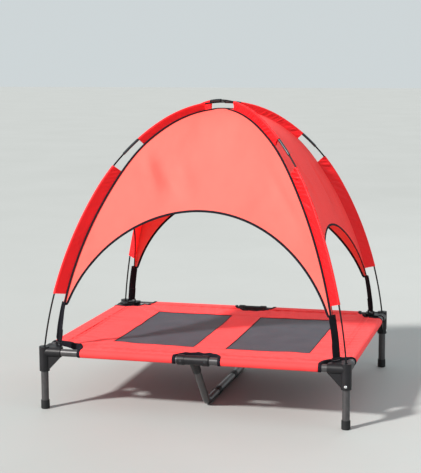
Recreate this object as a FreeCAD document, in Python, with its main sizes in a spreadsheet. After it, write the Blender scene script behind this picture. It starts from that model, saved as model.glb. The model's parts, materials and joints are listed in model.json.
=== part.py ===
import FreeCAD, Part
import math
import os
import Sketcher
from FreeCAD import Placement, Rotation, Vector

# Raised pet bed with a steel tube frame, a slung fabric cover and a lift-off pole canopy.
# Millimetres. X runs along the long side, Y towards the back, Z up from the floor.
# The origin is on the floor, in the middle of the bed.

doc = FreeCAD.newDocument("RaisedPetBed")
sheet = doc.addObject("Spreadsheet::Sheet", "Sizes")

X_AXIS = Vector(1, 0, 0)
Y_AXIS = Vector(0, 1, 0)
Z_AXIS = Vector(0, 0, 1)


class Length:
    """A length from the sheet, or worked out from such lengths: its expression and its value."""

    def __init__(self, text, value):
        self.text = text
        self.value = value

    def combine(self, sign, other, value):
        return Length("(%s %s %s)" % (self.text, sign, length(other).text), value)

    def __add__(self, other):
        return self.combine("+", other, self.value + length(other).value)

    def __sub__(self, other):
        return self.combine("-", other, self.value - length(other).value)

    def __mul__(self, other):
        return self.combine("*", other, self.value * length(other).value)

    def __truediv__(self, other):
        return self.combine("/", other, self.value / length(other).value)

    def __neg__(self):
        return Length("(-1 * %s)" % self.text, -self.value)


def length(number):
    """Any plain number as a Length."""
    if isinstance(number, Length):
        return number
    return Length(repr(number), number)


def size(alias, number):
    """Put one driving dimension in the sheet and return it."""
    size.row += 1
    cell = "B%d" % size.row
    sheet.set(cell, str(number))
    sheet.setAlias(cell, alias)
    return Length("Sizes." + alias, number)


size.row = 0

# Frame: tube axes, seen from above, and heights above the floor
leg_x = size("leg_half_spacing_x", 447)
leg_y = size("leg_half_spacing_y", 373)
tube_radius = size("tube_radius", 11)
tube_wall = size("tube_wall", 1.2)
fit_gap = size("fit_gap", 0.05)
rail_height = size("rail_height", 171)
leg_top = size("leg_top", 155)
cap_radius = size("foot_cap_radius", 13)
cap_height = size("foot_cap_height", 26)
cap_floor = size("foot_cap_floor", 3)

# Corner connectors
socket_radius = size("socket_radius", 15)
socket_bottom = size("socket_bottom", 114)
socket_top = size("socket_top", 187)
arm_radius = size("arm_radius", 14)
arm_reach = size("arm_reach", 53)
rail_stop = size("rail_stop", 16)
gusset_thickness = size("gusset_thickness", 12)
web_thickness = size("web_thickness", 4)
web_top = size("web_top", 183)
web_corner = size("web_corner", 40)
rod_bore_radius = size("rod_bore_radius", 4.8)
rod_bore_floor = size("rod_bore_floor", 162)
slot_inset = size("slot_inset", 33)
slot_width = size("slot_width", 25.8)
slot_depth = size("slot_depth", 3.6)

# Spring buttons that lock the legs
button_height = size("button_height", 124)
button_radius = size("button_radius", 4.4)
button_hole = size("button_hole_radius", 4.7)
button_tip = size("button_tip", 16.5)
button_flange = size("button_flange_radius", 5.2)

# Centre fittings and the folded middle leg
tee_offset = size("tee_offset", 8)
tee_half = size("tee_half_length", 47)
tee_web = size("tee_web_half", 7)
collar_radius = size("collar_radius", 15.5)
collar_start = size("collar_start", 27)
collar_length = size("collar_length", 18)
stub_radius = size("stub_radius", 14.5)
stub_end_radius = size("stub_end_radius", 13)
stub_reach = size("stub_reach", 52)
screw_offset = size("screw_offset", 36)
screw_head_radius = size("screw_head_radius", 3.5)
screw_shank_radius = size("screw_shank_radius", 1.7)
bar_height = size("bar_height", 12.2)
knee_y = size("knee_half_spacing", 228)
knee_radius = size("knee_bend_radius", 40)
glide_radius = size("glide_radius", 12.2)
glide_length = size("glide_length", 30)
glide_spacing = size("glide_half_spacing", 100)

# Canopy poles: a crown, a shoulder and a side arc, each tangent to the next
pole_radius = size("pole_radius", 2.4)
pole_top = size("pole_top", 894)
crossing_drop = size("crossing_drop", 5.4)
crown_radius = size("crown_radius", 408)
shoulder_radius = size("shoulder_radius", 632)
side_radius = size("side_radius", 1088)
crown_angle = size("crown_angle", 31)
shoulder_angle = size("shoulder_angle", 57)
foot_angle = size("foot_angle", 83.4)
joint_angle = size("joint_angle", 41.3)
joint_half_angle = size("joint_half_angle", 2.8)
top_joint_angle = size("top_joint_angle", 4.8)
top_joint_half_angle = size("top_joint_half_angle", 3.6)
ferrule_radius = size("ferrule_radius", 4)

# Canopy cloth
upper_sleeve_start = size("upper_sleeve_start", 8.7)
upper_sleeve_end = size("upper_sleeve_end", 38.3)
lower_sleeve_start = size("lower_sleeve_start", 48.4)
lower_sleeve_end = size("lower_sleeve_end", 73.9)
band_depth = size("band_depth", 29)
band_thickness = size("band_thickness", 1.5)
sheath_inner = size("sheath_inner_radius", 2.8)
sheath_outer = size("sheath_outer_radius", 3.8)
cloth = size("cloth_thickness", 1.2)
hip_reach = size("hip_reach", 560)
hip_top = size("hip_top", 863)
seam_gap = size("seam_gap", 1.2)
tip_height = size("tip_height", 307)
front_arch_half = size("front_arch_half_width", 414)
front_arch_base = size("front_arch_base", 150)
front_arch_rise = size("front_arch_rise", 432)
side_arch_half = size("side_arch_half_width", 350)
side_arch_base = size("side_arch_base", 200)
side_arch_rise = size("side_arch_rise", 317)
strap_width = size("strap_width", 25)
strap_thickness = size("strap_thickness", 1.4)
buckle_width = size("buckle_width", 31)
buckle_depth = size("buckle_depth", 5)
buckle_height = size("buckle_height", 12)
tongue_width = size("tongue_width", 25)
tongue_depth = size("tongue_depth", 2.6)
tongue_length = size("tongue_length", 16)

# Bed cover
skin = size("cover_skin", 1.3)
pocket_radius = size("rail_pocket_radius", 11.3)
hem_reach = size("hem_reach", 48)
hem_length = size("hem_return_length", 46.6)
pocket_end = size("pocket_end_allowance", 50)
hem_angle = size("hem_return_angle", 28.05)
hem_tangent = size("hem_tangent_angle", 61.95)
return_inset = size("hem_return_inset", 0.4)
floor_drop = size("sag", 10.6)
floor_x = size("sag_floor_half_x", 330)
floor_y = size("sag_floor_half_y", 245)
cover_shift = size("cover_shift", 18)
corner_cut = size("corner_cut_radius", 88)
centre_cut = size("centre_cut_radius", 62.8)
centre_cut_inset = size("centre_cut_inset", 12.6)
binding_width = size("binding_width", 9)
mesh_half_x = size("mesh_half_x", 125)
mesh_half_y = size("mesh_half_y", 235)
mesh_spacing = size("mesh_half_spacing", 174)
mesh_gap = size("mesh_gap", 0.3)

doc.recompute()

# Each corner: its name, the signs of its X and Y, and the turn of its connector and leg
CORNERS = (
    ("front_right", 1, -1, 0),
    ("back_right", 1, 1, 90),
    ("back_left", -1, 1, 180),
    ("front_left", -1, -1, 270),
)

nodes = []


def node(part, name):
    """Name a finished sub-part: its label is also its file's name."""
    part.Label = name
    nodes.append(part)
    return part


def place(x=0, y=0, z=0, turn=0, tilt_axis=X_AXIS, tilt=0):
    """A tilt about an axis through the origin, then a turn about Z, then a shift."""
    point = Vector(length(x).value, length(y).value, length(z).value)
    return Placement(point, Rotation(Z_AXIS, turn).multiply(Rotation(tilt_axis, tilt)))


def bind(part, **sizes):
    for name, value in sizes.items():
        part.setExpression(name, length(value).text)
    return part


# ---- Part primitives and booleans with their sizes bound to the sheet ----

def cylinder(name, radius, height, where, angle=360):
    part = doc.addObject("Part::Cylinder", name)
    bind(part, Radius=radius, Height=height, Angle=angle)
    part.Placement = where
    return part


def cone(name, radius, end_radius, height, where):
    part = doc.addObject("Part::Cone", name)
    bind(part, Radius1=radius, Radius2=end_radius, Height=height)
    part.Placement = where
    return part


def box(name, size_x, size_y, size_z, where):
    """A box centred on X and Y, standing on its own z = 0."""
    part = doc.addObject("Part::Box", name)
    bind(part, Length=size_x, Width=size_y, Height=size_z)
    corner = Vector(-length(size_x).value / 2, -length(size_y).value / 2, 0)
    part.Placement = where.multiply(Placement(corner, Rotation()))
    return part


def torus(name, radius, tube, angle, where):
    part = doc.addObject("Part::Torus", name)
    bind(part, Radius1=radius, Radius2=tube, Angle3=angle)
    part.Placement = where
    return part


def fuse(name, shapes):
    part = doc.addObject("Part::MultiFuse", name)
    part.Shapes = shapes
    return part


def cut(name, base, tool):
    part = doc.addObject("Part::Cut", name)
    part.Base = base
    part.Tool = tool
    return part


def common(name, shapes):
    part = doc.addObject("Part::MultiCommon", name)
    part.Shapes = shapes
    return part


def group(name, shapes):
    """Several separate solids in one sub-part."""
    part = doc.addObject("Part::Compound", name)
    part.Links = shapes
    return part


# ---- PartDesign helpers ----

def origin_plane(body, role):
    for feature in body.Origin.OriginFeatures:
        if feature.Role == role:
            return feature
    raise ValueError(role)


def new_sketch(body, name, role, offset=None):
    """A sketch on one of the body's own origin planes, raised by an optional offset."""
    sketch = body.newObject("Sketcher::SketchObject", name)
    sketch.AttachmentSupport = [(origin_plane(body, role), "")]
    sketch.MapMode = "FlatFace"
    if offset is not None:
        sketch.setExpression("AttachmentOffset.Base.z", length(offset).text)
    return sketch


def sketch_point(sketch, geometry, point_id, name, x, y):
    """Hold one point of the sketch at x, y from its origin."""
    for kind, value in (("DistanceX", length(x)), ("DistanceY", length(y))):
        index = sketch.addConstraint(
            Sketcher.Constraint(kind, -1, 1, geometry, point_id, value.value))
        sketch.renameConstraint(index, name + kind[-1])
        sketch.setExpression("Constraints." + name + kind[-1], value.text)


def sketch_circle(sketch, name, radius, x=0, y=0):
    centre = Vector(length(x).value, length(y).value, 0)
    circle = Part.Circle(centre, Z_AXIS, length(radius).value)
    index = sketch.addGeometry(circle, False)
    sketch_point(sketch, index, 3, name + "Centre", x, y)
    constraint = sketch.addConstraint(Sketcher.Constraint("Radius", index, length(radius).value))
    sketch.renameConstraint(constraint, name + "Radius")
    sketch.setExpression("Constraints." + name + "Radius", length(radius).text)


def sketch_outline(sketch, name, corners):
    """A closed outline of straight lines through the corners."""
    points = [Vector(length(x).value, length(y).value, 0) for x, y in corners]
    first = None
    for index, point in enumerate(points):
        following = points[(index + 1) % len(points)]
        line = sketch.addGeometry(Part.LineSegment(point, following), False)
        if first is None:
            first = line
        else:
            sketch.addConstraint(Sketcher.Constraint("Coincident", line - 1, 2, line, 1))
    sketch.addConstraint(Sketcher.Constraint("Coincident", line, 2, first, 1))
    for index, (x, y) in enumerate(corners):
        sketch_point(sketch, first + index, 1, "%s%d" % (name, index), x, y)


def pad(body, sketch, depth, backwards=False, both_ways=False):
    feature = body.newObject("PartDesign::Pad", sketch.Name + "Pad")
    feature.Profile = sketch
    bind(feature, Length=depth)
    feature.Reversed = backwards
    feature.Midplane = both_ways
    return feature


def pocket(body, sketch, depth, forwards=False, both_ways=False):
    """Cut the sketch into the body, against the sketch's normal unless forwards."""
    doc.recompute()
    before = body.Shape.Volume
    feature = body.newObject("PartDesign::Pocket", sketch.Name + "Pocket")
    feature.Profile = sketch
    bind(feature, Length=depth)
    feature.Reversed = forwards
    feature.Midplane = both_ways
    doc.recompute()
    if body.Shape.Volume > before - 0.01:
        raise ValueError("%s cuts nothing" % sketch.Name)
    return feature


# ---- Frame ----

def tube(name, tube_length, where, screw_hole=None, button_side=False):
    """A round steel tube along its own Z, with an optional hole in its wall."""
    body = doc.addObject("PartDesign::Body", name)
    ring = new_sketch(body, name + "Ring", "XY_Plane")
    sketch_circle(ring, "outer", tube_radius)
    sketch_circle(ring, "bore", tube_radius - tube_wall)
    pad(body, ring, tube_length)
    if button_side:
        hole = new_sketch(body, name + "ButtonHole", "XZ_Plane")
        sketch_circle(hole, "hole", button_hole, 0, button_height - cap_floor)
        pocket(body, hole, tube_radius + 1, forwards=True)
    if screw_hole is not None:
        hole = new_sketch(body, name + "ScrewHole", "XZ_Plane")
        sketch_circle(hole, "hole", screw_shank_radius + 0.2, 0, screw_hole)
        pocket(body, hole, tube_radius + 1, forwards=True)
    body.Placement = where
    return node(body, name)


def foot_cap(name, where):
    """A moulded cup turned about the leg's axis, with a bevelled lower rim."""
    bevel = 2
    body = doc.addObject("PartDesign::Body", name)
    profile = new_sketch(body, name + "Profile", "XZ_Plane")
    bore = tube_radius + fit_gap
    corners = (
        (0, 0),
        (cap_radius - bevel, 0),
        (cap_radius, length(bevel)),
        (cap_radius - 0.4, cap_height),
        (bore, cap_height),
        (bore, cap_floor),
        (0, cap_floor),
    )
    sketch_outline(profile, "edge", corners)
    turned = body.newObject("PartDesign::Revolution", name + "Turned")
    turned.Profile = profile
    turned.ReferenceAxis = (profile, ["V_Axis"])
    turned.Angle = 360
    body.Placement = where
    return node(body, name)


def corner_connector(name, where):
    """An upright socket for leg and pole, two arms for the rails, two gussets and a strap web.

    Drawn for the front right corner: the arms run to -X and +Y and the button faces -Y.
    """
    body = doc.addObject("PartDesign::Body", name)
    post = new_sketch(body, name + "Post", "XY_Plane", socket_bottom)
    sketch_circle(post, "post", socket_radius)
    pad(body, post, socket_top - socket_bottom)
    arm_left = new_sketch(body, name + "ArmX", "YZ_Plane")
    sketch_circle(arm_left, "arm", arm_radius, 0, rail_height)
    pad(body, arm_left, arm_reach, backwards=True)
    arm_back = new_sketch(body, name + "ArmY", "XZ_Plane")
    sketch_circle(arm_back, "arm", arm_radius, 0, rail_height)
    pad(body, arm_back, arm_reach, backwards=True)

    gusset_top = rail_height - 5
    gusset_end = rail_height - arm_radius + 1
    gusset_foot = socket_bottom + 2
    inward = -(arm_reach - 1)
    gusset_x = new_sketch(body, name + "GussetX", "XZ_Plane")
    side = ((0, gusset_top), (inward, gusset_top), (inward, gusset_end),
            (-(socket_radius - 3), gusset_foot), (0, gusset_foot))
    sketch_outline(gusset_x, "edge", side)
    pad(body, gusset_x, gusset_thickness, both_ways=True)
    gusset_y = new_sketch(body, name + "GussetY", "YZ_Plane")
    side = ((0, gusset_top), (0, gusset_foot), (socket_radius - 3, gusset_foot),
            (arm_reach - 1, gusset_end), (arm_reach - 1, gusset_top))
    sketch_outline(gusset_y, "edge", side)
    pad(body, gusset_y, gusset_thickness, both_ways=True)

    web = new_sketch(body, name + "Web", "XY_Plane", web_top - web_thickness)
    plan = ((0, 0), (0, arm_reach), (-rail_stop, arm_reach), (-web_corner, web_corner),
            (-arm_reach, rail_stop), (-arm_reach, 0))
    sketch_outline(web, "edge", plan)
    pad(body, web, web_thickness)

    leg_bore = new_sketch(body, name + "LegBore", "XY_Plane", socket_bottom)
    sketch_circle(leg_bore, "bore", tube_radius + fit_gap)
    pocket(body, leg_bore, leg_top - socket_bottom, forwards=True)
    rod_bore = new_sketch(body, name + "RodBore", "XY_Plane", socket_top)
    sketch_circle(rod_bore, "bore", rod_bore_radius)
    pocket(body, rod_bore, socket_top - rod_bore_floor)
    bore_x = new_sketch(body, name + "BoreX", "YZ_Plane", -rail_stop)
    sketch_circle(bore_x, "bore", tube_radius + fit_gap, 0, rail_height)
    pocket(body, bore_x, arm_reach)
    bore_y = new_sketch(body, name + "BoreY", "XZ_Plane", -rail_stop)
    sketch_circle(bore_y, "bore", tube_radius + fit_gap, 0, rail_height)
    pocket(body, bore_y, arm_reach)
    button = new_sketch(body, name + "ButtonHole", "XZ_Plane")
    sketch_circle(button, "hole", button_hole, 0, button_height)
    pocket(body, button, socket_radius + 1, forwards=True)

    slot = new_sketch(body, name + "Slot", "XY_Plane", web_top)
    along = (slot_width.value / 2) * math.sqrt(0.5)
    across = (slot_depth.value / 2) * math.sqrt(0.5)
    half_diagonal = Length("(Sizes.slot_width / 2 * sqrt(0.5))", along)
    half_depth = Length("(Sizes.slot_depth / 2 * sqrt(0.5))", across)
    opening = []
    for sign_long, sign_deep in ((-1, -1), (1, -1), (1, 1), (-1, 1)):
        x = -slot_inset + half_diagonal * sign_long - half_depth * sign_deep
        y = slot_inset + half_diagonal * sign_long + half_depth * sign_deep
        opening.append((x, y))
    sketch_outline(slot, "edge", opening)
    pocket(body, slot, web_thickness + 1)
    body.Placement = where
    return node(body, name)


def leg_button(name, where):
    """A domed pin with a flange behind the tube wall, pointing to -Y."""
    flange_back = 6.6
    flange_face = 8.1
    body = doc.addObject("PartDesign::Body", name)
    profile = new_sketch(body, name + "Profile", "XY_Plane")
    corners = (
        (0, -flange_back),
        (button_flange, -flange_back),
        (button_flange, -flange_face),
        (button_radius, -flange_face),
        (button_radius, -(button_tip - 2)),
        (button_radius - 1.4, -(button_tip - 0.6)),
        (button_radius - 3, -button_tip),
        (0, -button_tip),
    )
    sketch_outline(profile, "edge", corners)
    turned = body.newObject("PartDesign::Revolution", name + "Turned")
    turned.Profile = profile
    turned.ReferenceAxis = (profile, ["V_Axis"])
    turned.Angle = 360
    body.Placement = where
    return node(body, name)


def button_spring(name, where):
    """A folded leaf spring inside the tube, drawn as the pressed button leaves it."""
    leaf = 0.8
    width = 8
    far_arm = box(name + "Far", width, leaf, 34, place(0, 6.4, -6))
    near_arm = box(name + "Near", width, leaf, 22, place(0, 0.2, 6 - 12))
    bend = box(name + "Bend", width, 7.0, leaf, place(0, 3.3, -6))
    spring = fuse(name, [far_arm, near_arm, bend])
    spring.Placement = where
    return spring


def build_corners():
    springs = []
    for name, sign_x, sign_y, turn in CORNERS:
        x = leg_x * sign_x
        y = leg_y * sign_y
        foot_cap("foot_cap_" + name, place(x, y, 0))
        tube("leg_" + name, leg_top - cap_floor, place(x, y, cap_floor, turn), button_side=True)
        corner_connector("corner_connector_" + name, place(x, y, 0, turn))
        leg_button("leg_button_" + name, place(x, y, button_height, turn))
        springs.append(button_spring("Spring_" + name, place(x, y, button_height, turn)))
    node(group("ButtonSprings", springs), "leg_button_springs")


def rail_turn(along, outward):
    """Turn a tube so that its Z runs along X and its -Y faces the outside of the bed."""
    z_to = Vector(along, 0, 0)
    y_to = Vector(0, -outward, 0)
    return Rotation(y_to.cross(z_to), y_to, z_to, "ZYX")


def build_rails():
    """Two long sides of two half rails each, and one whole rail at each end.

    The half rails are equal. Each tee sits hard against the right one.
    """
    half_length = leg_x - rail_stop - tee_offset - tee_web
    left_hole = leg_x - rail_stop + tee_offset - screw_offset
    right_hole = leg_x - rail_stop - tee_offset - screw_offset
    for side, sign in (("front", -1), ("back", 1)):
        left = place(-(leg_x - rail_stop), leg_y * sign, rail_height)
        left.Rotation = rail_turn(1, sign)
        tube(side + "_rail_left", half_length, left, screw_hole=left_hole)
        right = place(leg_x - rail_stop, leg_y * sign, rail_height)
        right.Rotation = rail_turn(-1, sign)
        tube(side + "_rail_right", half_length, right, screw_hole=right_hole)
    side_length = (leg_y - rail_stop) * 2
    for name, sign in (("left_rail", -1), ("right_rail", 1)):
        where = place(leg_x * sign, -(leg_y - rail_stop), rail_height, 0, X_AXIS, -90)
        tube(name, side_length, where)


# ---- Centre fittings and middle leg ----

upright_lean = math.degrees(math.atan2(leg_y.value - knee_y.value,
                                       rail_height.value - bar_height.value))


def along_x(name, radius, width, start=0):
    """A cylinder along X from start."""
    return cylinder(name, radius, width, place(start, 0, 0, 0, Y_AXIS, 90))


def along_y(name, radius, width, x, start=0):
    """A cylinder along -Y from start."""
    return cylinder(name, radius, width, place(x, start, 0, 0, X_AXIS, 90))


def down_stub(radius, depth, name, end_radius=None, start=0):
    """A cylinder or cone from the tee's axis down and inward, along the middle leg."""
    where = place(0, 0, 0, 0, X_AXIS, 180 + upright_lean)
    where = where.multiply(place(0, 0, start))
    if end_radius is None:
        return cylinder(name, radius, depth, where)
    return cone(name, radius, end_radius, depth, where)


def centre_tee(name, where):
    """A moulded tee: a sleeve over both half rails, with a stub for the middle leg."""
    head_seat = 2.6
    barrel = along_x(name + "Barrel", arm_radius, tee_half * 2, -tee_half)
    solids = [barrel]
    bores = []
    bore_depth = tee_half - tee_web
    for side, sign in (("Left", -1), ("Right", 1)):
        collar_x = collar_start if sign > 0 else -(collar_start + collar_length)
        solids.append(along_x(name + "Collar" + side, collar_radius, collar_length, collar_x))
        bore_x = tee_web if sign > 0 else -tee_half
        bores.append(along_x(name + "Bore" + side, tube_radius + fit_gap, bore_depth, bore_x))
        screw_x = screw_offset * sign
        bores.append(along_y(name + "Seat" + side, screw_head_radius + 0.3, collar_radius,
                             screw_x, -(collar_radius - head_seat)))
        bores.append(along_y(name + "Hole" + side, screw_shank_radius + fit_gap, collar_radius,
                             screw_x))
    solids.append(down_stub(stub_radius, stub_reach, name + "Stub", stub_end_radius))
    bores.append(down_stub(tube_radius + fit_gap, stub_reach, name + "StubBore", None, rail_stop))
    tee = cut(name, fuse(name + "Outer", solids), fuse(name + "Bores", bores))
    tee.Placement = where
    return node(tee, name)


def tee_screw(name, x, where):
    """A pan head screw along Y, its head towards -Y."""
    head_top = collar_radius - 0.4
    head_height = 2.1
    shank_start = 8.2
    head = along_y(name + "Head", screw_head_radius, head_height, x, -(head_top - head_height))
    shank = along_y(name + "Shank", screw_shank_radius, head_top - head_height - shank_start,
                    x, -shank_start)
    screw = fuse(name, [head, shank])
    screw.Placement = where
    return screw


def support_leg(name):
    """One tube bent into a flat-bottomed U, from tee to tee, resting on the floor."""
    lean = math.radians(upright_lean)
    bend = 90 - upright_lean
    setback = knee_radius.value * math.tan(math.radians(bend) / 2)
    span = math.hypot(leg_y.value - knee_y.value, rail_height.value - bar_height.value)
    upright = span - rail_stop.value - setback
    bar_half = knee_y.value - setback
    solids = []
    for layer, radius in (("Outer", tube_radius), ("Inner", tube_radius - tube_wall)):
        pieces = [cylinder(name + "Bar" + layer, radius, bar_half * 2,
                           place(0, bar_half, bar_height, 0, X_AXIS, 90))]
        for side, sign in (("Front", -1), ("Back", 1)):
            turn = 0 if sign < 0 else 180
            start = Vector(0, sign * (leg_y.value - rail_stop.value * math.sin(lean)),
                           rail_height.value - rail_stop.value * math.cos(lean))
            tilt = Rotation(Z_AXIS, turn).multiply(Rotation(X_AXIS, 180 + upright_lean))
            pieces.append(cylinder(name + "Upright" + side + layer, radius, upright,
                                   Placement(start, tilt)))
            centre = Vector(0, sign * bar_half, bar_height.value + knee_radius.value)
            ring_x = Vector(0, sign * math.cos(lean), -math.sin(lean))
            ring_z = Vector(-sign, 0, 0)
            ring = Placement(centre, Rotation(ring_x, ring_z.cross(ring_x), ring_z, "ZYX"))
            pieces.append(torus(name + "Knee" + side + layer, knee_radius, radius, bend, ring))
        solids.append(fuse(name + layer, pieces))
    leg = cut(name, solids[0], solids[1])
    leg.Placement = place(tee_offset)
    return node(leg, name)


def support_glides(name):
    """Two plastic sleeves on the bottom bar, which take the wear."""
    rings = []
    for side, sign in (("Front", -1), ("Back", 1)):
        where = place(tee_offset, glide_spacing * sign + glide_length / 2, bar_height, 0, X_AXIS, 90)
        outer = cylinder("Glide" + side, glide_radius, glide_length, where)
        bore = cylinder("GlideBore" + side, tube_radius + fit_gap, glide_length, where)
        rings.append(cut("GlideRing" + side, outer, bore))
    return node(group("Glides", rings), name)


def build_centre():
    screws = []
    for side, sign, turn in (("front", -1, 0), ("back", 1, 180)):
        where = place(tee_offset, leg_y * sign, rail_height, turn)
        centre_tee("centre_tee_" + side, where)
        for end, screw_x in (("A", -screw_offset), ("B", screw_offset)):
            screws.append(tee_screw("Screw" + side + end, screw_x, where))
    node(group("Screws", screws), "centre_tee_screws")
    support_leg("support_leg")
    support_glides("support_leg_glides")


# ---- Canopy poles ----

class Arc:
    """One arc of a pole, in the pole's own upright plane, by its angles from straight up."""

    def __init__(self, start, end, radius, centre_out, centre_up):
        self.start = start
        self.end = end
        self.radius = radius
        self.centre_out = centre_out
        self.centre_up = centre_up


def pole_arcs():
    """The arcs of a whole pole from the front foot (negative) to the back foot (positive)."""
    half = []
    out = 0.0
    up = pole_top.value - crown_radius.value
    start = 0.0
    radius = crown_radius
    for end, next_radius in ((crown_angle, shoulder_radius), (shoulder_angle, side_radius),
                             (foot_angle, None)):
        half.append((start, end.value, radius, out, up))
        if next_radius is not None:
            turn = math.radians(end.value)
            step = radius.value - next_radius.value
            out += step * math.sin(turn)
            up += step * math.cos(turn)
            radius = next_radius
            start = end.value
    arcs = [Arc(-end, -start, size_, -out_, up_) for start, end, size_, out_, up_ in half[:0:-1]]
    arcs.append(Arc(-half[0][1], half[0][1], crown_radius, 0.0, half[0][4]))
    arcs.extend(Arc(start, end, size_, out_, up_) for start, end, size_, out_, up_ in half[1:])
    return arcs


def arcs_between(start, end):
    """The part of the pole's arcs between two angles."""
    for arc in pole_arcs():
        low = max(arc.start, length(start).value)
        high = min(arc.end, length(end).value)
        if high - low > 0.001:
            yield Arc(low, high, arc.radius, arc.centre_out, arc.centre_up)


def arc_place(arc, azimuth, drop):
    """The frame of an arc: X towards its outer end, Z across the pole's plane."""
    out = Vector(math.cos(azimuth), math.sin(azimuth), 0)
    centre = out * arc.centre_out + Z_AXIS * (arc.centre_up - drop)
    turn = math.radians(arc.end)
    ring_x = out * math.sin(turn) + Z_AXIS * math.cos(turn)
    ring_z = out.cross(Z_AXIS)
    return Placement(centre, Rotation(ring_x, ring_z.cross(ring_x), ring_z, "ZYX"))


def rod(name, tube_size, start, end, azimuth, drop):
    """A round rod along the pole between two angles."""
    pieces = []
    for index, arc in enumerate(arcs_between(start, end)):
        pieces.append(torus("%sArc%d" % (name, index), arc.radius, tube_size,
                            arc.end - arc.start, arc_place(arc, azimuth, drop)))
    if len(pieces) == 1:
        return pieces[0]
    return fuse(name, pieces)


def sleeve_run(name, start, end, azimuth, drop):
    """A sheath round the pole with a flat band below it, between two angles."""
    pieces = []
    for index, arc in enumerate(arcs_between(start, end)):
        label = "%sArc%d" % (name, index)
        where = arc_place(arc, azimuth, drop)
        turn = arc.end - arc.start
        sheath = cut(label + "Sheath",
                     torus(label + "Outer", arc.radius, sheath_outer, turn, where),
                     torus(label + "Inner", arc.radius, sheath_inner, turn, where))
        middle = where.multiply(place(0, 0, band_thickness * -0.5))
        band = cut(label + "Band",
                   cylinder(label + "BandOuter", arc.radius - (sheath_inner + 0.4),
                            band_thickness, middle, turn),
                   cylinder(label + "BandInner", arc.radius - band_depth, band_thickness, middle))
        pieces.extend((sheath, band))
    return fuse(name, pieces)


def build_poles():
    """Two equal poles. The inner one lies under the outer one where they cross.

    Each pole is four rods; three ferrules join them, the top one just behind the crossing.
    """
    lean = math.atan2(leg_y.value, leg_x.value)
    for pole, azimuth, drop in (("outer_pole", math.pi - lean, 0.0),
                                ("inner_pole", lean, crossing_drop.value)):
        sections = (
            ("front_lower", -foot_angle, -joint_angle),
            ("front_upper", -joint_angle, top_joint_angle),
            ("back_upper", top_joint_angle, joint_angle),
            ("back_lower", joint_angle, foot_angle),
        )
        for section, start, end in sections:
            name = "%s_%s" % (pole, section)
            node(rod(name, pole_radius, start, end, azimuth, drop), name)
        ferrules = []
        joints = (("Front", -joint_angle, joint_half_angle), ("Back", joint_angle, joint_half_angle),
                  ("Top", top_joint_angle, top_joint_half_angle))
        for joint, angle, half in joints:
            name = pole + "Ferrule" + joint
            outer = rod(name + "Outer", ferrule_radius, angle - half, angle + half, azimuth, drop)
            bore = rod(name + "Bore", pole_radius + fit_gap, angle - half, angle + half,
                       azimuth, drop)
            ferrules.append(cut(name, outer, bore))
        node(group(pole + "Ferrules", ferrules), pole + "_ferrules")


# ---- Canopy cloth ----

half_span = Length("sqrt(Sizes.leg_half_spacing_x ^ 2 + Sizes.leg_half_spacing_y ^ 2)",
                   math.hypot(leg_x.value, leg_y.value))


def ellipse_prism(name, upright, level, depth, turn, height, start=0):
    """An elliptic cylinder along the panel's own Y, its centre at the given height."""
    tall = upright.value >= level.value
    edge = doc.addObject("Part::Ellipse", name + "Edge")
    bind(edge, MajorRadius=upright if tall else level, MinorRadius=level if tall else upright)
    prism = doc.addObject("Part::Extrusion", name)
    prism.Base = edge
    prism.DirMode = "Custom"
    prism.Dir = Z_AXIS
    prism.Solid = True
    bind(prism, LengthFwd=depth)
    # The ellipse is drawn flat. It is stood up so that the prism runs from start to -depth.
    if tall:
        stand = Rotation(Z_AXIS, Vector(1, 0, 0), Vector(0, 1, 0), "ZYX")
    else:
        stand = Rotation(Vector(1, 0, 0), -Z_AXIS, Vector(0, 1, 0), "ZYX")
    across = Placement(Vector(0, length(start).value - length(depth).value, height.value), stand)
    prism.Placement = Placement(Vector(), Rotation(Z_AXIS, turn)).multiply(across)
    return prism


def canopy_panel(name, turn, reach, hip_run, arch):
    """A cloth panel curved only up and down, between two hips, with an arched opening.

    It is drawn for the front: it faces -Y, and its hips run out by hip_run for each unit of
    depth. The shell between two elliptic cylinders is cut to a sector and the arch is taken out.
    """
    arch_half, arch_base, arch_rise = arch
    overhang = 500
    zero = length(0)
    shell = cut(name + "Shell",
                ellipse_prism(name + "Outer", hip_top, reach, overhang * 2, turn + 90,
                              zero, overhang),
                ellipse_prism(name + "Inner", hip_top - cloth, reach - cloth, overhang * 2,
                              turn + 90, zero, overhang))
    opening = ellipse_prism(name + "Arch", arch_rise, arch_half, overhang, turn, arch_base)
    sector = doc.addObject("Part::Wedge", name + "Sector")
    apex = seam_gap * 2
    half_width = (length(overhang) - apex) * hip_run
    bind(sector, Xmin=-half_width, Xmax=half_width, Ymin=-overhang, Ymax=-apex,
         X2min=0, X2max=0, Zmin=tip_height, Z2min=tip_height, Zmax=overhang * 2,
         Z2max=overhang * 2)
    sector.Placement = Placement(Vector(), Rotation(Z_AXIS, turn))
    panel = common(name, [cut(name + "Open", shell, opening), sector])
    return node(panel, name)


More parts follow.
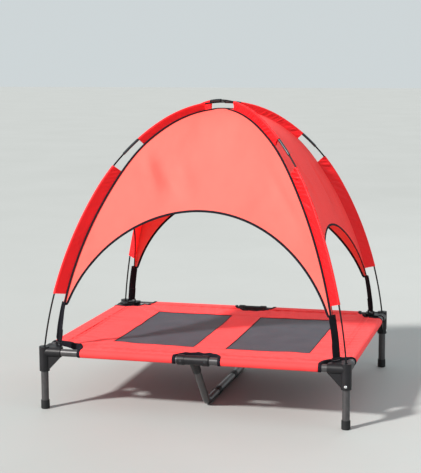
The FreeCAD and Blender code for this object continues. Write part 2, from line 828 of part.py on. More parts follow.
def corner_strap(name, sign_x, sign_y):
    """Webbing from the tip of the canopy down to the buckle, and the buckle's male half."""
    buckle_foot = web_top.value + 0.3
    out = Vector(sign_x, sign_y, 0)
    inset = slot_inset.value
    foot = Vector(sign_x * (leg_x.value - inset), sign_y * (leg_y.value - inset), buckle_foot)
    across = out.cross(Z_AXIS)
    across.normalize()
    facing = Rotation(across, Z_AXIS.cross(across), Z_AXIS, "ZYX")

    window_height = 5
    block = box(name + "Block", buckle_width, buckle_depth, buckle_height, place())
    window = box(name + "Window", buckle_width - 5, buckle_depth + 2, window_height, place(0, 0, 4))
    tongue = box(name + "Tongue", tongue_width, tongue_depth, tongue_length,
                 place(0, 0, -tongue_length))
    buckle = fuse(name + "Buckle", [cut(name + "Frame", block, window), tongue])
    buckle.Placement = Placement(foot, facing)
    node(buckle, "strap_buckle_" + name)

    hip = hip_reach.value * math.sqrt(1 - (tip_height.value / hip_top.value) ** 2) - 4
    share = hip / half_span.value
    top = Vector(sign_x * leg_x.value * share, sign_y * leg_y.value * share,
                 tip_height.value - 0.6)
    start = foot + Z_AXIS * (buckle_height.value + 1)
    run = top - start
    along = Vector(run)
    along.normalize()
    across = across - along * across.dot(along)
    across.normalize()
    strap = box(name + "Strap", strap_width, strap_thickness, run.Length, place())
    strap.Placement = Placement(start, Rotation(across, along.cross(across), along, "ZYX"))\
        .multiply(strap.Placement)
    node(strap, "corner_strap_" + name)


def build_canopy():
    front_reach = hip_reach * leg_y / half_span
    side_reach = hip_reach * leg_x / half_span
    front_arch = (front_arch_half, front_arch_base, front_arch_rise)
    side_arch = (side_arch_half, side_arch_base, side_arch_rise)
    canopy_panel("canopy_panel_front", 0, front_reach, leg_x / leg_y, front_arch)
    canopy_panel("canopy_panel_right", 90, side_reach, leg_y / leg_x, side_arch)
    canopy_panel("canopy_panel_back", 180, front_reach, leg_x / leg_y, front_arch)
    canopy_panel("canopy_panel_left", 270, side_reach, leg_y / leg_x, side_arch)
    for name, sign_x, sign_y, turn in CORNERS:
        azimuth = math.atan2(sign_y * leg_y.value, sign_x * leg_x.value)
        drop = 0.0 if sign_x * sign_y < 0 else crossing_drop.value
        label = "Sleeve_" + name
        runs = [sleeve_run(label + "Upper", upper_sleeve_start, upper_sleeve_end, azimuth, drop),
                sleeve_run(label + "Lower", lower_sleeve_start, lower_sleeve_end, azimuth, drop)]
        node(group(label, runs), "hip_sleeve_" + name)
        corner_strap(name, sign_x, sign_y)


# ---- Bed cover ----

def frustum(name, floor_level):
    """The dished middle of the cover, as a block that narrows downwards."""
    block = doc.addObject("Part::Wedge", name)
    rim_x = leg_x - hem_reach
    rim_y = leg_y - hem_reach
    bind(block, Xmin=-floor_x, Xmax=floor_x, Zmin=-floor_y, Zmax=floor_y, Ymin=0,
         Ymax=floor_drop, X2min=-rim_x, X2max=rim_x, Z2min=-rim_y, Z2max=rim_y)
    block.Placement = place(0, 0, floor_level, 0, X_AXIS, 90)
    return block


def rail_pocket(name, radius):
    """Cylinders round all four rails, ending inside the corner cut-outs."""
    run_x = leg_x - pocket_end
    run_y = leg_y - pocket_end
    rods = []
    for index, sign in enumerate((-1, 1)):
        rods.append(cylinder("%sX%d" % (name, index), radius, run_x * 2,
                             place(-run_x, leg_y * sign, rail_height, 0, Y_AXIS, 90)))
        rods.append(cylinder("%sY%d" % (name, index), radius, run_y * 2,
                             place(leg_x * sign, run_y, rail_height, 0, X_AXIS, 90)))
    return rods


def hem_returns():
    """The turned-in edge below each rail, from the pocket up to the hem seam."""
    outer = pocket_radius.value + skin.value - return_inset.value
    tangent = math.radians(hem_tangent.value)
    reach_in = outer * math.cos(tangent)
    below = outer * math.sin(tangent)
    returns = []
    for name, turn, rail, run in (("Front", 0, leg_y, leg_x), ("Right", 90, leg_x, leg_y),
                                  ("Back", 180, leg_y, leg_x), ("Left", 270, leg_x, leg_y)):
        strip = doc.addObject("Part::Box", "Return" + name)
        bind(strip, Length=(run - pocket_end) * 2, Width=hem_length, Height=skin)
        start = pocket_end.value - run.value
        corner = Vector(start, reach_in - rail.value, rail_height.value - below)
        where = Placement(corner, Rotation(X_AXIS, hem_angle.value))
        strip.Placement = Placement(Vector(), Rotation(Z_AXIS, turn)).multiply(where)
        returns.append(strip)
    return returns


def pocket_openings():
    """Room on the inner side of each rail, where only the top sheet closes the pocket."""
    room = pocket_radius + skin + 1
    rooms = []
    for index, sign in enumerate((-1, 1)):
        rooms.append(box("OpeningX%d" % index, leg_x * 2, room, room,
                         place(0, (leg_y - room / 2) * sign, rail_height)))
        rooms.append(box("OpeningY%d" % index, room, leg_y * 2, room,
                         place((leg_x - room / 2) * sign, 0, rail_height)))
    return rooms


def cover_cutters(name, extra):
    """Round cut-outs at the four corners and at the two tees."""
    tall = 60
    low = rail_height - tall / 2
    cutters = []
    for corner, sign_x, sign_y, turn in CORNERS:
        where = place(leg_x * sign_x + cover_shift, leg_y * sign_y, low)
        cutters.append(cylinder(name + corner, corner_cut + extra, tall, where))
    for side, sign in (("Front", -1), ("Back", 1)):
        where = place(cover_shift, (leg_y + centre_cut_inset) * sign, low)
        cutters.append(cylinder(name + side, centre_cut + extra, tall, where))
    return cutters


def build_cover():
    """A fabric sheet with two mesh windows, sewn pockets round the rails and bound cut-outs."""
    rail_top = rail_height + pocket_radius
    plate = box("CoverPlate", leg_x * 2, leg_y * 2, skin, place(0, 0, rail_top))
    dish = frustum("CoverDish", rail_top - floor_drop)
    hollow = frustum("CoverHollow", rail_top - floor_drop + skin)
    top = cut("CoverTop", fuse("CoverTopBlock", [plate, dish]), hollow)
    strips = fuse("PocketBlock", rail_pocket("PocketOuter", pocket_radius + skin) + hem_returns())
    hollows = rail_pocket("PocketInner", pocket_radius) + pocket_openings()
    inside = fuse("PocketInside", hollows + [plate, dish])
    pockets = cut("PocketStrips", strips, inside)

    window_height = 40
    windows = []
    for name, sign in (("left", -1), ("right", 1)):
        centre = cover_shift + mesh_spacing * sign
        windows.append(box("Window" + name, mesh_half_x * 2, mesh_half_y * 2, window_height,
                           place(centre, 0, rail_height - window_height / 2)))
        mesh = box("Mesh" + name, (mesh_half_x - mesh_gap) * 2, (mesh_half_y - mesh_gap) * 2,
                   skin - 0.2, place(centre, 0, rail_top - floor_drop + 0.1))
        node(mesh, "mesh_panel_" + name)
    wide = fuse("CutWide", cover_cutters("Wide", binding_width))
    narrow = fuse("CutNarrow", cover_cutters("Narrow", 0))
    node(cut("Cover", top, fuse("CoverOpenings", [wide] + windows)), "bed_cover")
    node(cut("Pockets", pockets, wide), "hem_pockets")
    ring = cut("CutRing", wide, narrow)
    bound = [common("BoundTop", [top, ring]), common("BoundPockets", [pockets, ring])]
    node(fuse("Binding", bound), "cover_binding")


def check_and_export():
    """Stop on any failed object; then write every sub-part as its own STEP file."""
    doc.recompute()
    for part in doc.Objects:
        if "Invalid" in part.State or "Error" in part.State:
            raise RuntimeError("%s failed: %s" % (part.Name, part.State))
    for part in nodes:
        if part.Shape.isNull() or not part.Shape.isValid() or not part.Shape.Solids:
            raise RuntimeError("%s has no valid solid" % part.Label)
    os.makedirs("parts", exist_ok=True)
    for part in nodes:
        part.Shape.exportStep("parts/%s.step" % part.Label)
        bounds = part.Shape.BoundBox
        print("%-34s solids %d  volume %9.0f  x %.1f %.1f  y %.1f %.1f  z %.1f %.1f" % (
            part.Label, len(part.Shape.Solids), part.Shape.Volume, bounds.XMin, bounds.XMax,
            bounds.YMin, bounds.YMax, bounds.ZMin, bounds.ZMax))
    print(len(nodes), "nodes")


build_corners()
build_rails()
build_centre()
build_poles()
build_canopy()
build_cover()
check_and_export()
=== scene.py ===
import json
import math

import bpy
import numpy as np
from mathutils import Matrix, Vector, noise


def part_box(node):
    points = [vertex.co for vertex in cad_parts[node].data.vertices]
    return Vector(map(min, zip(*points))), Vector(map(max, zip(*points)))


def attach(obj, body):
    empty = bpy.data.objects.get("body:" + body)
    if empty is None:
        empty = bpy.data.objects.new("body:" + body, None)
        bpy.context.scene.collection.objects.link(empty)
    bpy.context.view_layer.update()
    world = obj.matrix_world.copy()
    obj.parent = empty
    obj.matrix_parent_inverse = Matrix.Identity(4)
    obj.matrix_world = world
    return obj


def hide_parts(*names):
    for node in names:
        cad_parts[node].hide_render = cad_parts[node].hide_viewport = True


# The looks of a raised pet bed with a lift-off canopy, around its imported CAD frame.
# Metres. X runs along the long side, Y towards the back, Z up from the floor.

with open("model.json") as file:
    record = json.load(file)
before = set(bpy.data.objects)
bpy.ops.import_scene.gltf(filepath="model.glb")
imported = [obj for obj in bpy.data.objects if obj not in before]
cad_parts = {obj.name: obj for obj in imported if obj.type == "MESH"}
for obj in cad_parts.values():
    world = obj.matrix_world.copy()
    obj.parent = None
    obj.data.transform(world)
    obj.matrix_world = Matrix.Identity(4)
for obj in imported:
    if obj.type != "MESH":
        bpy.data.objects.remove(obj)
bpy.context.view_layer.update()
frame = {"nodes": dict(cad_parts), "record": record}

MM = 0.001

# ---- Sizes, from the frame and from how the cloth is cut ----


def centre_of(node):
    low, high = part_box(node)
    return (low + high) / 2


LEG_X = centre_of("foot_cap_front_right").x
LEG_Y = centre_of("foot_cap_back_right").y
RAIL_Z = centre_of("right_rail").z
HALF_SPAN = math.hypot(LEG_X, LEG_Y)
OUT_X = LEG_X / HALF_SPAN
OUT_Y = LEG_Y / HALF_SPAN

CORNERS = {
    "front_right": (1, -1),
    "back_right": (1, 1),
    "back_left": (-1, 1),
    "front_left": (-1, -1),
}

# Poles: a crown, a shoulder and a side arc in each upright diagonal plane
POLE_RADIUS = 2.4 * MM
POLE_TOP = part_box("outer_pole_front_upper")[1].z - POLE_RADIUS
INNER_DROP = 5.4 * MM
POLE_ARCS = ((31, 0.408), (57, 0.632), (90, 1.088))

# Canopy: where its hip seams lie under the poles, and its arched ways in
UPPER_SEAM_DEPTH = 26 * MM
LOWER_SEAM_DEPTH = 36 * MM
TIP_ANGLE = 75.7
FRONT_ARCH = (0.414, 0.150, 0.432)
SIDE_ARCH = (0.350, 0.200, 0.317)
CANOPY_CLOTH = 0.8 * MM
SLEEVES = {"upper": (8.7, 38.3), "lower": (48.4, 73.9)}
SHEATH_RADIUS = 3.4 * MM
SHEATH_SHARE = 0.3
TAPE_WIDTH = 7 * MM
PIPING_WIDTH = 6 * MM

# Straps
STRAP_WIDTH = 25 * MM
STRAP_THICKNESS = 1.6 * MM

# Bed cover
COVER_CLOTH = 1.2 * MM
POCKET_RADIUS = 11.95 * MM
HEM_REACH = 48 * MM
COVER_SHIFT = 18 * MM
CORNER_CUT = 88 * MM
CENTRE_CUT = 62.8 * MM
CENTRE_CUT_INSET = 12.6 * MM
BINDING_WIDTH = 9 * MM
FOLD_DROP = 17 * MM
MESH_HALF_X = 0.125
MESH_HALF_Y = 0.235
MESH_SPACING = 0.174
SAG_LEFT = 7 * MM
SAG_RIGHT = 11 * MM


# ---- Materials ----

class Surface:
    """One procedural material, built node by node around its Principled shader."""

    def __init__(self, name):
        self.data = bpy.data.materials.new(name)
        self.data.use_nodes = True
        self.tree = self.data.node_tree
        self.shader = self.tree.nodes["Principled BSDF"]
        self.output = self.tree.nodes["Material Output"]

    def add(self, kind, inputs=None, **settings):
        """Add a node. An input is a value, or another node's output to link."""
        made = self.tree.nodes.new("ShaderNode" + kind)
        for setting, value in settings.items():
            setattr(made, setting, value)
        for socket, value in (inputs or {}).items():
            self.feed(made.inputs[socket], value)
        return made

    def feed(self, socket, value):
        if isinstance(value, bpy.types.NodeSocket):
            self.tree.links.new(value, socket)
        else:
            socket.default_value = value

    def set(self, **inputs):
        """Set or link the Principled shader's inputs."""
        for socket, value in inputs.items():
            self.feed(self.shader.inputs[socket.replace("_", " ")], value)
        return self

    def maths(self, operation, first, second=0.0):
        return self.add("Math", {0: first, 1: second}, operation=operation).outputs[0]

    def place(self):
        return self.add("TexCoord").outputs["Object"]

    def cloth_place(self):
        """The cloth's own flat coordinates, in metres."""
        return self.add("UVMap", uv_map="Cloth").outputs["UV"]

    def noise(self, scale, detail=3.0, where=None, roughness=0.55):
        return self.add("TexNoise", {
            "Vector": where or self.place(), "Scale": scale, "Detail": detail,
            "Roughness": roughness}).outputs["Fac"]

    def ramp(self, factor, *stops):
        """Colours along a factor, each stop a position and a colour."""
        made = self.add("ValToRGB", {"Fac": factor})
        elements = made.color_ramp.elements
        while len(elements) < len(stops):
            elements.new(0.5)
        for element, (position, colour) in zip(elements, stops):
            element.position = position
            element.color = (*colour, 1)
        return made.outputs["Color"]

    def span(self, factor, low, high):
        """A factor from 0 to 1 as a number from low to high."""
        return self.add("MapRange", {"Value": factor, "To Min": low, "To Max": high}).outputs[0]

    def mix(self, factor, first, second, blend="MIX"):
        made = self.add("Mix", data_type="RGBA", blend_type=blend)
        for index, value in ((0, factor), (6, first), (7, second)):
            self.feed(made.inputs[index], value)
        return made.outputs[2]

    def bump(self, *layers):
        """Heights laid over each other, each with its depth in metres."""
        normal = None
        for height, depth in layers:
            inputs = {"Height": height, "Distance": depth, "Strength": 1.0}
            if normal is not None:
                inputs["Normal"] = normal
            normal = self.add("Bump", inputs).outputs["Normal"]
        self.set(Normal=normal)
        return self

    def waves(self, spacing, across=False):
        """A sine along the cloth's U, or its V, one half turn for each thread."""
        parts = self.add("SeparateXYZ", {"Vector": self.cloth_place()})
        turn = self.maths("MULTIPLY", parts.outputs["Y" if across else "X"], math.pi / spacing)
        return self.maths("SINE", turn)

    def weave(self, spacing):
        """The height of a plain weave, from 0 to 1."""
        crossing = self.maths("MULTIPLY", self.waves(spacing), self.waves(spacing, True))
        return self.span(self.maths("ADD", crossing, 1.0), 0.0, 1.0)


def shades(colour, *factors):
    return [tuple(min(1.0, part * factor) for part in colour) for factor in factors]


def cloth_surface(name, colour, spacing, rough=0.75, sheen=0.06, shine=0.22, weave_depth=0.12 * MM,
                  see_through=None, fold_depth=0.5 * MM):
    """Woven cloth: threads with painted shade between them, a slight unevenness of dye, fine
    creases, and a soft sheen.
    """
    made = Surface(name)
    where = made.cloth_place()
    dark, plain, light = shades(colour, 0.9, 1.0, 1.08)
    patches = made.ramp(made.noise(9, 4, where), (0.3, dark), (0.5, plain), (0.72, light))
    weave = made.weave(spacing)
    # The threads' colour follows the weave's height: painted shade in the hollows between threads
    # and lighter tops.
    threads = made.mix(0.16, patches, made.ramp(weave, (0.0, dark), (1.0, light)))
    slubs = made.noise(420, 2, where)
    made.set(Base_Color=threads, Roughness=made.span(slubs, rough - 0.08, rough + 0.08))
    made.set(Sheen_Weight=sheen, Sheen_Roughness=0.4, Specular_IOR_Level=shine)
    made.bump((made.noise(26, 5, where), fold_depth), (weave, weave_depth))
    if see_through:
        share, through = see_through
        glow = made.add("BsdfTranslucent", {"Color": (*through, 1)})
        blend = made.add("MixShader", {0: share, 1: made.shader.outputs[0], 2: glow.outputs[0]})
        made.tree.links.new(blend.outputs[0], made.output.inputs["Surface"])
    return made.data


def tape_surface(name, colour):
    """Ribbed black tape or webbing, with lighter rubbed threads at random, and ribs painted lighter
    on top and darker in their grooves as light and shade.
    """
    made = Surface(name)
    ribs = made.weave(0.9 * MM)
    dark, light = shades(colour, 0.7, 1.5)
    wear = made.ramp(made.noise(60, 4), (0.35, dark), (0.75, light))
    # The ribs' colour follows their height: painted shade in the grooves and a painted highlight on
    # their tops.
    made.set(Base_Color=made.mix(0.35, wear, made.ramp(ribs, (0.0, dark), (1.0, light))))
    made.set(Roughness=made.span(made.noise(300, 2), 0.65, 0.85), Specular_IOR_Level=0.1)
    made.bump((made.noise(90, 3), 0.25 * MM), (ribs, 0.18 * MM))
    return made.data


def mesh_surface():
    """Open mesh of coated yarn: lighter threads round small holes. The sheet is opaque, and its
    holes are painted dark as the shade seen through them.
    """
    made = Surface("OpenMesh")
    spacing = 1.5 * MM
    holes = made.maths("MULTIPLY", made.maths("ABSOLUTE", made.waves(spacing)),
                       made.maths("ABSOLUTE", made.waves(spacing, True)))
    yarn = made.ramp(made.noise(14, 4, made.cloth_place()),
                     (0.3, (0.037, 0.042, 0.056)), (0.7, (0.056, 0.063, 0.08)))
    # Painted shade: the holes take a near-black colour for the shade under the mesh that shows
    # through them.
    painted_hole_shade = made.span(made.maths("GREATER_THAN", holes, 0.62), 0.0, 0.62)
    made.set(Base_Color=made.mix(painted_hole_shade, yarn, (0.014, 0.015, 0.021, 1)), Roughness=0.6)
    made.bump((made.noise(18, 3, made.cloth_place()), 0.6 * MM), (holes, -0.3 * MM))
    return made.data


def plastic_surface(name, colour, rough, grain=0.06 * MM):
    """Moulded plastic with a fine eroded grain, slightly polished where hands and feet rub."""
    made = Surface(name)
    dark, light = shades(colour, 0.8, 1.35)
    made.set(Base_Color=made.ramp(made.noise(35, 4), (0.35, dark), (0.75, light)))
    made.set(Roughness=made.span(made.noise(55, 3), rough - 0.08, rough + 0.1))
    made.set(Specular_IOR_Level=0.26)
    pits = made.add("TexVoronoi", {"Vector": made.place(), "Scale": 900.0}).outputs["Distance"]
    made.bump((made.noise(40, 3), 0.12 * MM), (pits, grain))
    return made.data


def painted_tube():
    """Semi-gloss powder coat: a slight orange peel over dark grey, with faint handling marks."""
    made = Surface("PowderCoat")
    marks = made.noise(70, 6, roughness=0.7)
    made.set(Base_Color=made.ramp(marks, (0.35, (0.034, 0.032, 0.034)),
                                  (0.8, (0.06, 0.056, 0.059))))
    made.set(Roughness=made.span(made.noise(120, 4), 0.3, 0.46), Metallic=0.25)
    made.set(Coat_Weight=0.25, Coat_Roughness=0.2)
    made.bump((made.noise(330, 2), 0.05 * MM), (made.noise(1400, 2), 0.015 * MM))
    return made.data


def rod_surface():
    """Pultruded glass fibre rod: near black, with fine lengthwise streaks."""
    made = Surface("PoleRod")
    streaks = made.noise(240, 5, roughness=0.7)
    made.set(Base_Color=made.ramp(streaks, (0.3, (0.004, 0.004, 0.005)),
                                  (0.8, (0.012, 0.012, 0.014))))
    made.set(Roughness=made.span(made.noise(90, 3), 0.36, 0.5), Specular_IOR_Level=0.12)
    made.bump((streaks, 0.04 * MM))
    return made.data


def metal_surface(name, colour, rough):
    """Turned or rolled metal with fine scratches and faint stains."""
    made = Surface(name)
    dark, light = shades(colour, 0.82, 1.05)
    scratches = made.noise(700, 4, roughness=0.75)
    made.set(Base_Color=made.ramp(made.noise(110, 4), (0.3, dark), (0.7, light)), Metallic=1.0)
    made.set(Roughness=made.span(scratches, rough - 0.07, rough + 0.12))
    made.bump((scratches, 0.02 * MM))
    return made.data


def floor_surface():
    made = Surface("PaleFloor")
    tone = made.ramp(made.noise(1.5, 3), (0.3, (0.335, 0.345, 0.338)), (0.7, (0.352, 0.362, 0.356)))
    made.set(Base_Color=tone, Roughness=0.62)
    return made.data


THREAD_RED = (0.62, 0.03, 0.03)
surfaces = {
    "tube_steel": painted_tube(),
    "moulded_plastic": plastic_surface("MouldedPlastic", (0.008, 0.0075, 0.009), 0.42),
    "foot_plastic": plastic_surface("FootPlastic", (0.009, 0.009, 0.01), 0.55),
    "buckle_plastic": plastic_surface("BucklePlastic", (0.008, 0.008, 0.01), 0.38, 0.03 * MM),
    "button_steel": metal_surface("ButtonSteel", (0.86, 0.86, 0.87), 0.2),
    "spring_steel": metal_surface("SpringSteel", (0.5, 0.5, 0.52), 0.35),
    "screw_steel": metal_surface("ScrewSteel", (0.07, 0.07, 0.075), 0.35),
    "ferrule_metal": metal_surface("FerruleMetal", (0.055, 0.062, 0.068), 0.32),
    "pole_rod": rod_surface(),
    "canopy_cloth": cloth_surface("CanopyCloth", (0.98, 0.19, 0.155), 0.45 * MM, rough=0.62,
                                  see_through=(0.42, (0.98, 0.08, 0.07))),
    "sleeve_cloth": cloth_surface("SleeveCloth", (0.88, 0.007, 0.012), 0.45 * MM, rough=0.42,
                                  shine=0.34, see_through=(0.25, (0.95, 0.012, 0.012))),
    "webbing": tape_surface("Webbing", (0.005, 0.0045, 0.007)),
    "binding_tape": tape_surface("BindingTape", (0.006, 0.005, 0.0085)),
    "mesh_cloth": mesh_surface(),
    "cover_cloth": cloth_surface("CoverCloth", (0.9, 0.045, 0.046), 0.7 * MM, rough=0.7,
                                 weave_depth=0.2 * MM, fold_depth=0.9 * MM),
}
# Painted shade: the side panels are the same cloth as the front and back, and this darker, redder
# copy paints in the shade that falls on them.
shaded_side_cloth = cloth_surface("CanopySideClothPaintedShade", (0.98, 0.10, 0.095), 0.45 * MM, rough=0.62,
                           see_through=(0.48, (0.98, 0.05, 0.05)))
thread_surface = cloth_surface("Thread", THREAD_RED, 0.3 * MM, rough=0.6)


# ---- Mesh helpers ----

def unit(vectors):
    """Each vector at length 1."""
    return vectors / np.maximum(np.linalg.norm(vectors, axis=-1, keepdims=True), 1e-12)


def wobble(x, y, z):
    """Smooth noise at a place, from about -1 to 1."""
    return noise.noise(Vector((x, y, z)))


def distances(path):
    """How far along a path each of its points is."""
    return np.concatenate([[0], np.cumsum(np.linalg.norm(np.diff(path, axis=0), axis=1))])


def read_off(at, along, values):
    """Rows of x, y and z at distances along a path."""
    return np.stack([np.interp(at, along, values[:, axis]) for axis in range(3)], axis=1)


def put(name, data):
    """A new object in the scene."""
    made = bpy.data.objects.new(name, data)
    bpy.context.scene.collection.objects.link(made)
    return made


def piece(name, shape, slot, body, surface=None, sharp_border=False):
    """A mesh object that rides on a body. Its shape is points, faces and flat cloth places."""
    points, faces, flat_places = shape
    mesh = bpy.data.meshes.new(name)
    mesh.from_pydata([tuple(p) for p in points], [], faces)
    mesh.materials.append(surface or surfaces[slot])
    layer = mesh.uv_layers.new(name="Cloth")
    corners = np.zeros(len(mesh.loops), np.int32)
    mesh.loops.foreach_get("vertex_index", corners)
    layer.data.foreach_set("uv", np.asarray(flat_places, np.float32)[corners].ravel())
    mesh.polygons.foreach_set("use_smooth", [True] * len(mesh.polygons))
    mesh.validate()
    mesh.update()
    made = put(name, mesh)
    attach(made, body)
    if sharp_border:
        uses = {}
        for polygon in mesh.polygons:
            for key in polygon.edge_keys:
                uses[key] = uses.get(key, 0) + 1
        for edge in mesh.edges:
            edge.use_edge_sharp = uses.get(edge.key, 0) == 1
    return made


def thicken(made, thickness):
    """Give a sheet its thickness, half on each side."""
    solid = made.modifiers.new("Thickness", "SOLIDIFY")
    solid.thickness = thickness
    solid.offset = 0
    solid.use_even_offset = False


def grid_faces(columns, rows, closed=False):
    """Faces of a grid of points, listed column by column."""
    faces = []
    for i in range(columns if closed else columns - 1):
        following = (i + 1) % columns
        for j in range(rows - 1):
            faces.append((i * rows + j, following * rows + j,
                          following * rows + j + 1, i * rows + j + 1))
    return faces


def straight_up(path):
    """A normal that points up for each point of a path."""
    return np.tile((0.0, 0.0, 1.0), (len(path), 1))


def flat_mesh(lines_x, lines_y):
    """Flat places where two sets of grid lines cross."""
    return np.stack(np.meshgrid(lines_x, lines_y, indexing="ij"), axis=-1).reshape(-1, 2)


def flat_grid(grid):
    """Flat places for a grid of points, by lengths along its middle row and its columns."""
    columns, rows = grid.shape[:2]
    down = np.cumsum(np.linalg.norm(np.diff(grid, axis=1), axis=2), axis=1)
    down = np.concatenate([np.zeros((columns, 1)), down], axis=1)
    middle = grid[:, rows // 2]
    across = np.repeat(distances(middle)[:, None], rows, axis=1)
    return np.stack([across, down], axis=-1).reshape(-1, 2)


def tangents(path, closed=False):
    if closed:
        return unit(np.roll(path, -1, axis=0) - np.roll(path, 1, axis=0))
    return unit(np.gradient(path, axis=0))


def tape_profile(inner, outer, half_thickness, round_steps=3):
    """A closed flat section with round edges, from inner to outer across the tape."""
    points = []
    for middle, start in ((outer - half_thickness, -90), (inner + half_thickness, 90)):
        for step in range(round_steps * 2 + 1):
            turn = math.radians(start + 180 * step / (round_steps * 2))
            points.append((middle + half_thickness * math.cos(turn),
                           half_thickness * math.sin(turn)))
    return points


def sweep(path, normals, profile, closed=False, scale=None):
    """Points, faces and flat places of a section moved along a path.

    The section's first axis runs across the path, square to the normals.
    """
    path = np.asarray(path, float)
    along = tangents(path, closed)
    normals = unit(normals - along * (normals * along).sum(1, keepdims=True))
    across = np.cross(along, normals)
    section = np.asarray(profile, float)
    sizes = np.ones((len(path), 2)) if scale is None else np.asarray(scale, float)
    points = (path[:, None] + across[:, None] * (section[None, :, :1] * sizes[:, None, :1])
              + normals[:, None] * (section[None, :, 1:] * sizes[:, None, 1:]))
    count, around = points.shape[:2]
    faces = []
    for i in range(count if closed else count - 1):
        following = (i + 1) % count
        for j in range(around):
            beside = (j + 1) % around
            faces.append((i * around + j, i * around + beside,
                          following * around + beside, following * around + j))
    if not closed:
        faces.append(tuple(reversed(range(around))))
        faces.append(tuple((count - 1) * around + j for j in range(around)))
    girth, lengths = distances(section), distances(path)
    flat_places = np.stack(np.broadcast_arrays(girth[None, :], lengths[:, None]), axis=-1)
    return points.reshape(-1, 3), faces, flat_places.reshape(-1, 2)


def join_parts(parts):
    """Several sets of points, faces and flat places as one."""
    points, faces, places = [], [], []
    start = 0
    for part_points, part_faces, part_places in parts:
        points.append(part_points)
        places.append(part_places)
        faces.extend(tuple(index + start for index in face) for face in part_faces)
        start += len(part_points)
    return np.concatenate(points), faces, np.concatenate(places)


def resample(path, step):
    """The path again, with points evenly spaced."""
    path = np.asarray(path, float)
    lengths = distances(path)
    at = np.linspace(0, lengths[-1], max(3, round(lengths[-1] / step) + 1))
    return read_off(at, lengths, path)


STITCH_PITCH = 5 * MM
STITCH_LENGTH = 3.4 * MM
STITCH_RADIUS = 0.38 * MM


def stitches(path, normals):
    """Separate thread dashes along a path, each a small spindle lying on the cloth."""
    path = np.asarray(path, float)
    lengths = distances(path)
    at = np.arange(STITCH_PITCH, lengths[-1] - STITCH_PITCH / 2, STITCH_PITCH)
    middle = read_off(at, lengths, path)
    up = unit(read_off(at, lengths, normals))
    along = tangents(middle)
    side = np.cross(along, up)
    points, faces, places = [], [], []
    for centre, forward, over, across in zip(middle, along, up, side):
        start = len(points)
        half = forward * STITCH_LENGTH / 2
        ends = (centre - half - over * STITCH_RADIUS, centre + half - over * STITCH_RADIUS)
        points.append(ends[0])
        for share in (-0.28, 0.28):
            for turn in range(4):
                angle = turn * math.pi / 2
                ring = across * math.cos(angle) + over * math.sin(angle)
                points.append(centre + forward * STITCH_LENGTH * share + ring * STITCH_RADIUS)
        points.append(ends[1])
        for turn in range(4):
            beside = (turn + 1) % 4
            faces.append((start, start + 1 + beside, start + 1 + turn))
            faces.append((start + 1 + turn, start + 1 + beside,
                          start + 5 + beside, start + 5 + turn))
            faces.append((start + 9, start + 5 + turn, start + 5 + beside))
        places.extend([(0, 0)] * 10)
    return np.asarray(points), faces, np.asarray(places, float)


# ---- Canopy geometry ----

def pole_point(angle):
    """Out from the middle and up, on the outer pole's centreline, by the angle from straight up."""
    out = 0.0
    up = POLE_TOP - POLE_ARCS[0][1]
    for (end, radius), (_, following) in zip(POLE_ARCS, POLE_ARCS[1:] + POLE_ARCS[-1:]):
        if angle <= end:
            break
        turn = math.radians(end)
        out += (radius - following) * math.sin(turn)
        up += (radius - following) * math.cos(turn)
    turn = math.radians(angle)
    return out + radius * math.sin(turn), up + radius * math.cos(turn)


def smooth(share):
    share = np.clip(share, 0, 1)
    return share * share * (3 - 2 * share)


def hip_point(angle):
    """Out from the middle and up, on the hip seam under the pole."""
    depth = UPPER_SEAM_DEPTH + (LOWER_SEAM_DEPTH - UPPER_SEAM_DEPTH) * smooth((angle - 36) / 20)
    out, up = pole_point(angle)
    turn = math.radians(angle)
    return out - depth * math.sin(turn), up - depth * math.cos(turn)


ANGLES = np.linspace(0, TIP_ANGLE, 400)
HIP = np.array([hip_point(angle) for angle in ANGLES])


def hip_at(angles):
    """Hip seam places, out and up, for an array of angles."""
    return np.interp(angles, ANGLES, HIP[:, 0]), np.interp(angles, ANGLES, HIP[:, 1])


def turned(points, degrees):
    """Points turned about Z, a whole number of quarter turns."""
    turn = math.radians(degrees)
    cosine, sine = round(math.cos(turn)), round(math.sin(turn))
    x, y, z = points[..., 0], points[..., 1], points[..., 2]
    return np.stack([x * cosine - y * sine, x * sine + y * cosine, z], axis=-1)


def ridge(x, z, start, end, width, height):
    """A soft crease along a line, in a panel's own x and z."""
    start, end = np.array(start), np.array(end)
    run = end - start
    share = np.clip(((x - start[0]) * run[0] + (z - start[1]) * run[1]) / (run @ run), 0, 1)
    away = np.hypot(x - start[0] - share * run[0], z - start[1] - share * run[1])
    taper = 0.25 + 0.75 * np.sin(np.pi * np.clip(share, 0.02, 0.98))
    return height * taper * np.exp(-(away / width) ** 2)


